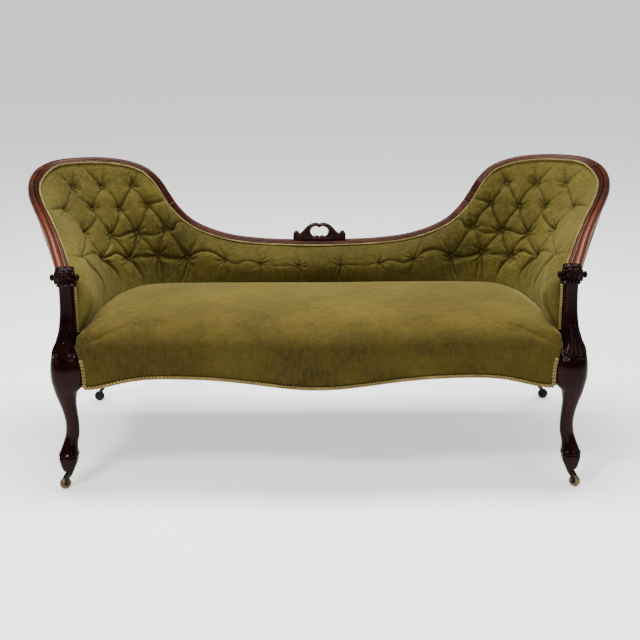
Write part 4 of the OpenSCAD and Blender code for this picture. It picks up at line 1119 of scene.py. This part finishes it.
def arm_scroll(sx):
    b = Bag()
    # the number given with each piece is painted shade: the drum darkest, the rosette's centre not at all
    c = (-299.0, 635.0)
    # the drum that rolls across the arm, ribbed like a leaf
    xs = np.array([692.6, 693, 694, 696, 697.2, 698.4, 700, 704, 709, 714, 718, 723, 728, 732, 735.6, 737, 738.2, 739.4, 741.4, 742.4, 743])
    rr = np.array([10, 17, 23.4, 24.6, 24.0, 21.8, 22.6, 24.2, 24.8, 23.4, 22.6, 23.4, 24.8, 24.2, 22.6, 21.8, 24.0, 24.6, 23.4, 17, 10])
    mask = np.clip(1 - np.abs(xs - 718) / 19, 0, 1) ** 0.4
    v, f = lathe_x(xs, rr, c, 110, 1.1, 22, 0.0, mask)
    b.add(v, f, 0.25)
    # end discs with a volute, and a turned boss outside each
    for e, s_ in ((743.0, 1), (693.0, -1)):
        xs = e + s_ * np.array([-2, 0, 2.2, 3.6, 4.6, 5.4, 6.0, 7.2, 8.4, 10, 12, 14, 15.6, 16.6, 17.0])
        rr = np.array([15, 16.2, 16, 14.6, 11, 7.8, 7.0, 7.6, 9.2, 10.1, 10.3, 9.4, 7.2, 4.4, 1.2])
        if s_ < 0:
            xs, rr = xs[::-1], rr[::-1]
        v, f = lathe_x(xs, rr, (-299, 628.5), 44)
        b.add(v, f, 0.15)
        v, f = tube(spiral((-299, 628.5), 20.5, 10.5, 1.35, e + s_ * 0.4, 70, 2.6, s_), np.linspace(2.6, 1.5, 70), 8)
        b.add(v, f, 0.2)
    # leaf on the roll's front, over a flower
    for t, r0 in ((-0.75, 25), (-0.25, 25), (0.25, 25), (0.75, 25)):
        for s_ in (-1, 1):
            th = math.pi + 0.35 - 0.62 * abs(t) * 1.2
            cc = np.array([718 + s_ * (3 + 5 * abs(t) * 2), c[0] + 23.6 * math.cos(math.pi - 0.5 + t * 0.5), c[1] + 23.6 * math.sin(math.pi - 0.5 + t * 0.5) * 1.0])
            n = np.array([0, math.cos(math.pi - 0.5 + t * 0.5), math.sin(math.pi - 0.5 + t * 0.5)])
            d = np.array([s_ * 0.9, 0.25 * n[2], -0.45 * n[1] * (1 if t > 0 else -1)])
            v, f = petal(cc, n, d, 13, 3.6, 3.2)
            b.add(v, f, 0.15)
    n = unit([0, -1, 0.12])
    cc = np.array([718, -324.2, 629.5])
    u, w = np.array([1.0, 0, 0]), np.cross([1.0, 0, 0], n)
    for k in range(8):
        a = 2 * math.pi * k / 8
        d = math.cos(a) * u + math.sin(a) * w
        v, f = petal(cc + d * 2.5, n, d, 8.6, 2.9, 2.4, 12)
        b.add(v, f, 0.1)
    v, f = ball(cc + n * 0.8, 3.6, 10, 16)
    b.add(v, f, 0.0)
    # fillet under the rail and the moulded cornice on the support
    for zs, hw, hd, cy in (([603.6, 604.4, 606, 608.6, 610.6, 612, 613.4, 616], [20.5, 23.5, 26.4, 27.8, 27.2, 25, 22.6, 21.4], [20.5, 22, 24, 24.6, 24, 22.5, 21, 20], -300),
                           ([645, 647.4, 649.6, 651.6, 654.2, 656.4, 657.4], [20.4, 22, 24, 24.2, 24, 22.4, 20], [15, 16.5, 18, 18.2, 18, 16.5, 14.5], -297)):
        m = 60
        a = 2 * math.pi * np.arange(m) / m
        rings = [np.stack([718 - (5 if zs[0] < 620 else 3) + w_ * rounded(np.cos(a), .45), cy + d_ * rounded(np.sin(a), .45), np.full(m, z_)], 1) for z_, w_, d_ in zip(zs, hw, hd)]
        v, f = ring_solid(np.array(rings))
        b.add(v, f, np.concatenate([np.repeat([0.2] * len(zs), m), [0, 0]]))
    # small leaves that hang over the cornice
    for x in (-14, -5, 5, 14):
        v, f = petal([713 + x, -323.4, 622], [0, -1, 0.1], [x * 0.012, -0.1, -1], 12, 4.2, 2.6, 12)
        b.add(v, f, 0.15)
    b.v = [q * [sx, 1, 1] for q in b.v]
    return b.make("carved_arm_scroll_" + ("right" if sx > 0 else "left"), MAT["dark_rosewood"])


for sx_, nm in ((1, "right"), (-1, "left")):
    done(arm_scroll(sx_), "dark_rosewood", "arm_scroll_" + nm)


# ------------------------------------------------------------------ crest
CREST = [(83.5, 0), (84.5, 8), (83.5, 16), (80.5, 22), (75.5, 24.5), (71, 21.5), (68.5, 16.5), (64.5, 15), (58.5, 18.5), (50.5, 26.5), (42.5, 35.5), (34.5, 42.5), (25.5, 47.8), (15, 50.4), (8, 50), (3.5, 48.2), (0, 47.6)]
HOLE = [(0, 1.6), (2.6, 4.4), (5.4, 7.2), (9.4, 8), (13, 6), (17, 5), (22, 6.4), (27, 11), (31, 18), (32.4, 26), (30, 34.5), (23.5, 41.4), (14.5, 45.2), (7.5, 45.2), (3.4, 43.2), (0, 41)]


def crest():
    ext, bev = 4.4, 3.0
    cu = bpy.data.curves.new("crest_line", "CURVE")
    cu.dimensions, cu.fill_mode, cu.extrude, cu.bevel_depth, cu.bevel_resolution = "2D", "BOTH", ext, bev, 3
    C, H = np.array(CREST, float), np.array(HOLE, float)
    for p, foot in ((np.concatenate([C, (C[:-1] * [-1, 1])[::-1]]), True), (np.concatenate([H, (H[1:-1] * [-1, 1])[::-1]]), False)):
        k = len(p)
        pts = []
        for i in range(k):
            a_, b_, c_, d_ = p[i - 1], p[i], p[(i + 1) % k], p[(i + 2) % k]
            if foot:
                a_, d_ = (b_ if i == 0 else a_), (c_ if i == k - 2 else d_)
            for u in ((0.0,) if foot and i == k - 1 else (0, .2, .4, .6, .8)):
                pts.append(0.5 * (2 * b_ + (c_ - a_) * u + (2 * a_ - 5 * b_ + 4 * c_ - d_) * u * u + (3 * b_ - a_ - 3 * c_ + d_) * u ** 3))
        sp = cu.splines.new("POLY")
        sp.points.add(len(pts) - 1)
        for w, (x_, z_) in zip(sp.points, pts):
            w.co = (x_, z_, 0, 1)
        sp.use_cyclic_u = True
    tmp = bpy.data.objects.new("crest_tmp", cu)
    bpy.context.scene.collection.objects.link(tmp)
    dg = bpy.context.evaluated_depsgraph_get()
    me = bpy.data.meshes.new_from_object(tmp.evaluated_get(dg))
    bm = bmesh.new()
    bm.from_mesh(me)
    bmesh.ops.remove_doubles(bm, verts=bm.verts, dist=0.01)
    vs = np.array([q.co[:] for q in bm.verts])
    fs = [[w.index for w in q.verts] for q in bm.faces]
    bm.free()
    bpy.data.objects.remove(tmp)
    bpy.data.curves.remove(cu)
    bpy.data.meshes.remove(me)
    y0, z0 = 311.0, 595.3
    b = Bag()
    # painted shade: the flat plate is darkened, the carved beads on it much less
    b.add(np.stack([vs[:, 0], y0 - vs[:, 2], z0 + vs[:, 1]], 1), fs, 0.6)
    yf_ = y0 - ext - bev

    def P(x, z, d=0.0):
        return [x, yf_ - d, z0 + z]

    for s_ in (-1, 1):
        def bead(pts, r0, r1, deep=0.0, side_=1.3, n=26):
            p = cr(np.array([P(s_ * x, z, side_) for x, z in pts]), np.linspace(0, len(pts) - 1, n))
            t = np.linspace(0, 1, n)
            v, f = tube(p, mix(r0, r1, t) * np.clip(np.sin(math.pi * np.clip(t, .03, .97)) ** 0.35, 0.3, 1), 10)
            b.add(v, f, deep)
            # the same carving on the back, flatter
            q = p.copy()
            q[:, 1] = 2 * y0 - q[:, 1]
            v, f = tube(q, 0.8 * mix(r0, r1, t) * np.clip(np.sin(math.pi * np.clip(t, .03, .97)) ** 0.35, 0.3, 1), 8)
            b.add(v, f, deep)
        # rim of the opening
        bead([(5, 46.6), (13.5, 47), (23, 43.8), (31, 36.6), (34.4, 27), (33.4, 17.5), (29, 9), (23.5, 4)], 1.7, 2.3)
        # outer edge of the arch
        bead([(4, 48.8), (15, 49.6), (25.5, 46.6), (34.5, 41), (43, 33.4), (51, 24.2), (58.5, 16.4), (66, 10)], 1.5, 1.8)
        # leaf ribs that fan from the opening to the outer edge
        for pts in ([(34, 39), (36.5, 31), (36, 21), (31.5, 10)], [(39, 34.5), (42.5, 26), (41.8, 17), (36.5, 6.5)], [(44.5, 28.5), (49, 20.5), (48.5, 13), (43, 4.5)],
                    [(50.5, 21.5), (55.4, 14.4), (55, 8.4), (50, 3)], [(57, 14.5), (61.4, 9), (60.8, 5), (56.5, 2.2)], [(27, 44.5), (33.4, 38), (37, 31), (37.8, 25)]):
            bead(pts, 2.9, 2.0)
        # curled ear at each end
        bead([(63, 6), (69, 9), (74.5, 14.5), (77.5, 20), (81.5, 21), (83.4, 15.5), (80.4, 10.6), (76.5, 11.6), (76.4, 15)], 2.2, 2.6)
        bead([(84.8, 3), (85, 12), (82.4, 20), (77, 23.4)], 1.6, 1.8)
        # scroll heads on both sides of the notch
        bead([(3.8, .8), (8, .2), (13, 1), (14.2, 3.6), (11, 5.8), (7.8, 4.8), (8, 2.6), (10.2, 2.6)], 1.7, 1.9)
        bead([(30, 5), (25, 1.8), (19, .8), (13, -.4)], 2.0, 1.5)
    # drop at the top of the opening, and the moulded foot
    v, f = ball([0, y0, z0 + 42.6], 3.4, 12, 18, (0.9, 1.0, 1.15))
    b.add(v, f, 0.05)
    v, f = ball([0, y0 - 6.2, z0 - 0.6], 2.4, 10, 16)
    b.add(v, f, 0.05)
    for zz, r, dy in ((1.6, 2.2, 0.8), (-1.8, 1.6, 0.2)):
        for q in (-1, 1):
            p = np.array([[x, y0 + q * (ext + bev + dy), z0 + zz + 0.012 * abs(x) * 0.3] for x in np.linspace(-84, 84, 60)])
            v, f = tube(p, r * np.clip(np.sin(math.pi * np.clip(np.linspace(0, 1, 60), .02, .98)) ** 0.3, .3, 1), 8)
            b.add(v, f, 0.05)
    return b.make("pierced_crest", MAT["crest_rosewood"])


done(crest(), "dark_rosewood", "crest_carving")


def pegs():
    """Dowels inside the rail's joints, and the two that hold the crest."""
    b = Bag()
    for s in (J1, J2, 2 * MID - J2, 2 * MID - J1):
        k = float(kw(np.array([s]))[0])
        t = (cr(FULL, np.array([s + 0.02])) - cr(FULL, np.array([s - 0.02])))[0]
        t /= np.linalg.norm(t)
        for a in (13.0 * k, 30.5 * k):
            c = rs(s, 0, -12.0, a)[0]
            u = np.array([-17, -16, -15, 15, 16, 17])
            v, f = tube(c + u[:, None] * t, np.array([2.0, 2.8, 3.1, 3.1, 2.8, 2.0]), 20)
            b.add(v, f, 0.1)
    for x in (-62, 62):
        v, f = tube(np.array([[x, 311, z] for z in (578.2, 579.2, 580.2, 606, 607, 608)], float), np.array([2.0, 2.8, 3.0, 3.0, 2.8, 2.0]), 20)
        b.add(v, f, 0.1)
    return b.make("joint_pegs", MAT["beech"])


done(pegs(), "beech", "rail_dowels")


# ------------------------------------------------------------------ braid and cloths
def path_frames(p, n):
    p, n = np.asarray(p, float), np.asarray(n, float)
    t = unit(np.gradient(p, axis=0))
    n = unit(n - t * (n * t).sum(1, keepdims=True))
    return t, n, np.cross(t, n)


def braid(name, strips, half=3.6, pitch=8.6, cord=1.45, nodes=()):
    """Gimp along each strip (points, facing): a ribbon under two cords that cross over each other, with a corded edge."""
    bag = Bag()
    for p, n in strips:
        p, n = np.asarray(p, float), np.asarray(n, float)
        L = np.concatenate([[0], np.cumsum(np.linalg.norm(np.diff(p, axis=0), axis=1))])
        per = 14
        m = max(12, int(L[-1] / pitch * per))
        l = np.linspace(0, L[-1], m)
        P = np.stack([np.interp(l, L, p[:, k]) for k in range(3)], 1)
        F = np.stack([np.interp(l, L, n[:, k]) for k in range(3)], 1)
        t, F, w = path_frames(P, F)
        # the ribbon
        step = slice(None, None, 2)
        prof = [(-half - .3, -.9), (-half - .5, -.2), (-half, .5), (0, .9), (half, .5), (half + .5, -.2), (half + .3, -.9)]
        rings = np.stack([P[step] + a * w[step] + b * F[step] for a, b in prof], 1)
        v, f = ring_solid(rings)
        ph = 2 * math.pi * l / pitch
        knot = np.exp(-(np.sin(ph) / 0.42) ** 2)
        # painted shade: the ribbon is darkened under the cords, the cords most where they cross, and the corded edges
        # too
        bag.add(v, f, np.concatenate([np.repeat(0.75 + 0.25 * knot[step], len(prof)), [1, 1]]))
        r = np.full(m, cord)
        r[:2] *= (0.4, 0.8)
        r[-2:] *= (0.8, 0.4)
        sides = 7
        for s_ in (1, -1):
            q = P + w * (half * s_ * np.sin(ph))[:, None] + F * (1.25 + 0.75 * s_ * np.cos(ph))[:, None]
            v, f = tube(q, r * (1.16 - 0.45 * knot), sides)
            bag.add(v, f, np.concatenate([np.repeat(knot, sides), np.full(len(v) - m * sides, 0.85)]))
        for s_ in (1, -1):
            q = P + w * (s_ * (half - 0.9 + 0.5 * np.sin(3 * ph)))[:, None] + F * 0.5
            v, f = tube(q[step], 0.8, 5)
            bag.add(v, f, 0.8)
    o = bag.make(name, MAT["gimp"])
    return done(o, "gimp", *nodes)


s_ = np.linspace(0.42, 2 * MID - 0.42, 1400)
braid("gimp_round_the_back", [(rs(s_, 44, -11.2 - 2.6 * smooth(side(s_), 7, 10), 3.4), 0.8 * nrm(s_) + 0.6 * inw(s_))], half=1.6, pitch=15, cord=1.25, nodes=["back_gimp"])
x_ = np.linspace(-671, 671, 500)
y_ = yf(x_)
front_n = np.stack([np.gradient(y_, x_), -np.ones_like(x_), 0.0 * x_], 1)
strips = [(np.stack([x_, y_ - 2.6, zb(x_) + 4.4], 1), front_n)]
for k_ in (1, -1):
    z_ = np.linspace(zb(680) + 6, 404, 60)
    xx = np.interp(z_, [312, 345, 375, 404], [670.0, 669.6, 671.0, 676.0])
    yy = yf(xx) - 2.4 + np.interp(z_, [312, 395, 412], [0, 0, 3])
    strips.append((np.stack([k_ * xx, yy, z_], 1), np.tile([0.0, -1.0, 0.0], (60, 1))))
braid("gimp_along_the_seat", strips, half=3.2, pitch=21, cord=2.1, nodes=["seat_gimp"])
z_ = np.linspace(601, 463, 60)
braid("gimp_down_the_arms", [(np.stack([k_ * np.full(60, 691.5), np.interp(z_, [460, 480, 601], [-296, -293.2, -292.4]), z_], 1), np.tile([-0.35 * k_, -0.94, 0.0], (60, 1))) for k_ in (1, -1)],
      half=2.4, pitch=17, cord=1.7, nodes=["arm_gimp"])
s_ = np.linspace(0.03, 2 * MID - 0.03, 900)
braid("gimp_round_the_outside", [(cr(OUTF, s_) - outn(s_) * 4.6 + [0, 0, 4.5], -outn(s_))], half=3.0, pitch=19, cord=1.9, nodes=["outside_gimp"])


def surface_area(rows):
    a, b, c, d = rows[:-1, :-1], rows[1:, :-1], rows[1:, 1:], rows[:-1, 1:]
    return 0.5 * (np.linalg.norm(np.cross(b - a, c - a), axis=-1) + np.linalg.norm(np.cross(c - a, d - a), axis=-1)).sum() / 1e6


def thin(name, rows, n, thick, mat, fix=True):
    """A closed sheet of cloth over a grid of points."""
    m, k = rows.shape[:2]
    ring = np.concatenate([rows, (rows - n * thick)[:, ::-1]], 1)
    v, f = ring_solid(ring)
    return mesh(name, v, f, mat, {"deep": np.zeros(len(v))}, fix=fix)


def outside_cloth():
    ns, nv = ((760, 60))
    s = np.linspace(0.03, 2 * MID - 0.03, ns)
    v = np.linspace(0.0, 0.995, nv)
    S, V = np.meshgrid(s, v, indexing="ij")
    base = wall(S.ravel(), 0.0, V.ravel())
    n = -outn(S.ravel())
    d = 0.9 + 0.4 * waves(base, 0.02, 31) + 0.2 * waves(base * [1, 1, .4], 0.07, 32)
    # small pulls where the cloth is tacked under the rail and along the foot
    L = np.concatenate([[0], np.cumsum(np.linalg.norm(np.diff(cr(FULL, s), axis=0), axis=1))])
    pulls = np.cos(2 * math.pi * L / 34.0)[:, None] * np.ones(nv)
    d += 0.55 * pulls.ravel() * (np.exp(-(V.ravel() / 0.07) ** 2) + 0.8 * np.exp(-((1 - V.ravel()) / 0.07) ** 2))
    rows = (base + n * d[:, None]).reshape(ns, nv, 3)
    N = n.reshape(ns, nv, 3)
    # turned round the front edge of each arm, behind the leg
    reach = mix(0.7, 1.22, smooth(v, 0.3, 0.6))[:, None]
    for end, at in ((0, 0), (-1, len(rows))):
        p0, n0 = rows[end], N[end]
        more = [(p0 + n0 * a_ + [0, b_, 0] * reach, unit(n0 + [0, c_, 0])) for a_, b_, c_ in ((-17, -15.6, -9), (-9, -15.2, -6), (-4, -13.6, -2), (-1.2, -10.5, -.7), (-.2, -5.5, 0))]
        if end:
            more = more[::-1]
        rows = np.insert(rows, at, np.array([q[0] for q in more]), 0) if not end else np.concatenate([rows, np.array([q[0] for q in more])])
        N = np.insert(N, at, np.array([q[1] for q in more]), 0) if not end else np.concatenate([N, np.array([q[1] for q in more])])
    area = float(surface_area(rows))
    o = thin("outside_cloth", rows, N, 1.0, MAT["outside_cloth"])
    high = float(np.linalg.norm(np.diff(rows, axis=1), axis=-1).sum(1).max()) / 1000
    long_ = float(np.linalg.norm(np.diff(rows, axis=0), axis=-1).sum(0).max()) / 1000
    print("outside cloth", round(high, 3), round(long_, 3), round(area, 3))
    return o, (round(high, 3), round(long_, 3)), area


oc, flat_, area_ = outside_cloth()
done(oc, "outside_cloth", "outside_back_cloth")


def bottom_sheet():
    half_ = np.concatenate([np.arange(0, 650, 14), [653.9, 654.1, 663, 671.9, 672.1, 682, 692, 701.9, 704, 707, 710, 712]])
    xs = np.concatenate([-half_[:0:-1], half_])
    a = np.abs(xs)
    y0 = np.where(a <= 654, yf(xs) + 32, np.where(a <= 702, -286, -286 + (a - 702) / 10 * 470))
    y1 = np.where(a <= 672, 286, 236 - (a - 672) / 40 * 46)
    t = np.linspace(0, 1, 48)
    Y = mix(y0[:, None], y1[:, None], t[None])
    X = np.repeat(xs[:, None], 48, 1)
    e = np.minimum(np.minimum(Y - y0[:, None], y1[:, None] - Y), 712 - np.abs(X))
    sag = 4.0 * smooth(e, 0, 120) * (0.8 + 0.2 * np.cos(X * 2 * math.pi / 224))
    rip = 0.5 * np.sin(X * 0.18 + 0.6 * np.sin(Y * 0.05)) * np.exp(-(e / 22) ** 2)
    rows = np.stack([X, Y, 337.9 - sag + rip], -1)
    n = np.tile([0.0, 0.0, -1.0], (len(xs), 48, 1))
    return thin("dust_cloth_under_the_seat", rows, n, 0.9, MAT["black_cloth"]), float(surface_area(rows))


bc, barea = bottom_sheet()
done(bc, "black_cloth", "bottom_cloth")


# ------------------------------------------------------------------ castor horns
def loop_solid(rings):
    """Closed both ways: a ring of rings."""
    R = np.asarray(rings, float)
    n, m = R.shape[:2]
    k, j = np.arange(n)[:, None], np.arange(m)[None]
    a, b = k * m + j, k * m + (j + 1) % m
    c, d = ((k + 1) % n) * m + (j + 1) % m, ((k + 1) % n) * m + j
    return R.reshape(-1, 3), np.stack([a, b, c, d], -1).reshape(-1, 4).tolist()


def horn(name, sx, pivot, turn):
    """Cast horn: a boss with its bore, two rounded cheeks and the saddle between them above the wheel."""
    b = Bag()
    m = 40
    a = 2 * math.pi * np.arange(m) / m
    ca, sa = np.cos(a), np.sin(a)
    out = 1 / (np.abs(ca / 8.6) ** 3 + np.abs(sa / 10.2) ** 3) ** (1 / 3)
    rings = [np.stack([r_ * ca, r_ * sa, np.full(m, z_)], 1) for r_, z_ in
             ((3.62, 48.2), (out - 1.0, 48.1), (out - .25, 48.5), (out, 49.3), (out, 52.0), (out - .25, 52.7), (out - 1.0, 53.0), (3.62, 53.0))]
    v, f = loop_solid(rings)
    b.add(v, f, 0.25)
    path = cr(np.array([(-1, 0, 52.6), (-1, 0, 49.8), (1.0, 0, 45.2), (5.8, 0, 39.6), (11.4, 0, 33), (14.6, 0, 26), (15, 0, 19), (15, 0, 14.4), (15, 0, 11.6), (15, 0, 10.7)], float), np.linspace(0, 9, 46))
    hw = np.interp(np.linspace(0, 9, 46), [0, 1, 2, 3, 4, 5, 6, 7, 7.7, 8.4, 9], [6.6, 6.4, 5.8, 5.2, 5.0, 5.2, 6.0, 5.9, 5.0, 3.0, 0.6])
    t = unit(np.gradient(path, axis=0))
    side_ = np.stack([t[:, 2], 0 * hw, -t[:, 0]], 1)
    e = 2 * math.pi * np.arange(20) / 20
    for q in (-1, 1):
        rings = path[:, None] + [0, q * 9.1, 0] + side_[:, None] * (hw[:, None] * rounded(np.cos(e), .5))[..., None] + np.array([0, 1, 0]) * (np.minimum(1.6, hw)[:, None] * rounded(np.sin(e), .6))[..., None]
        rings[..., 2] = np.minimum(rings[..., 2], 52.8)
        v, f = ring_solid(rings)
        b.add(v, f, 0.15)
    prof = np.array([(-3.2, 43.8), (-.6, 40.2), (2.6, 38.0), (8, 37.4), (13.4, 37.6), (12.8, 39.4), (9.6, 42.2), (6.6, 44.4), (2, 44.7), (-2.2, 44.6)], float)
    c = prof.mean(0)
    ys = np.array([-8.4, -7.4, -3.5, 0, 3.5, 7.4, 8.4])
    pr = cr(np.c_[np.concatenate([prof, prof[:3]]), np.zeros(13)], np.linspace(1, 11, 41)[:-1])[:, :2]
    rings = np.array([np.stack([c[0] + (pr[:, 0] - c[0]) * k_, np.full(40, y_), c[1] + (pr[:, 1] - c[1]) * k_], 1) for y_, k_ in zip(ys, (.96, .98, .93, .9, .93, .98, .96))])
    v, f = ring_solid(rings)
    b.add(v, f, 0.4)
    co, si = math.cos(math.radians(turn)), math.sin(math.radians(turn))
    b.v = [np.stack([sx * (q[:, 0] * co - q[:, 1] * si + pivot[0]), q[:, 0] * si + q[:, 1] * co + pivot[1], q[:, 2]], 1) for q in b.v]
    return b.make("cast_horn_" + name, MAT["castor_iron"])


for k_, sx_, p_, a_ in (("fl", -1, (735, -339), -38), ("fr", 1, (735, -339), -38), ("rl", -1, (764, 383), 0), ("rr", 1, (764, 383), 0)):
    done(horn(k_, sx_, p_, a_), "castor_iron", "castor_horn_" + k_, body="horn_" + k_)



# ------------------------------------------------------------------ floor, lights
def stage():
    me = bpy.data.meshes.new("floor")
    me.from_pydata([(-60, -60, 0), (60, -60, 0), (60, 60, 0), (-60, 60, 0)], [], [(0, 1, 2, 3)])
    fl = link("floor", me)
    m = Nodes("floor_paint")
    m.set(Base_Color=m.ramp(m.noise(1.5, 3, 0.5), [(0.3, (0.93, 0.93, 0.93, 1)), (0.7, (0.95, 0.95, 0.95, 1))]), Roughness=0.9, Specular_IOR_Level=0.1, Emission_Color=(1.0, 1.0, 1.0, 1.0), Emission_Strength=0.72)
    me.materials.append(m.mat)
    w = bpy.data.worlds.new("world")
    bpy.context.scene.world = w
    w.use_nodes = True
    bg = w.node_tree.nodes["Background"]
    bg.inputs[0].default_value = (1.0, 1.0, 1.0, 1)
    bg.inputs[1].default_value = 0.34

    def area(name, loc, target, size, power, col=(1, 1, 1)):
        l = bpy.data.lights.new(name, "AREA")
        l.shape = "RECTANGLE"
        l.size, l.size_y = size
        l.energy = power
        l.color = col
        ob = bpy.data.objects.new(name, l)
        bpy.context.scene.collection.objects.link(ob)
        ob.location = loc
        ob.rotation_euler = (Vector(target) - Vector(loc)).to_track_quat("-Z", "Y").to_euler()
    area("key", (-1.6, -2.6, 3.4), (0, 0, 0.45), (0.8, 0.6), 125)
    area("fill", (2.6, -2.8, 2.4), (0, 0, 0.4), (1.4, 1.4), 30)
    area("top", (0, 0.3, 3.6), (0, 0, 0.4), (3.0, 1.4), 290)


stage()
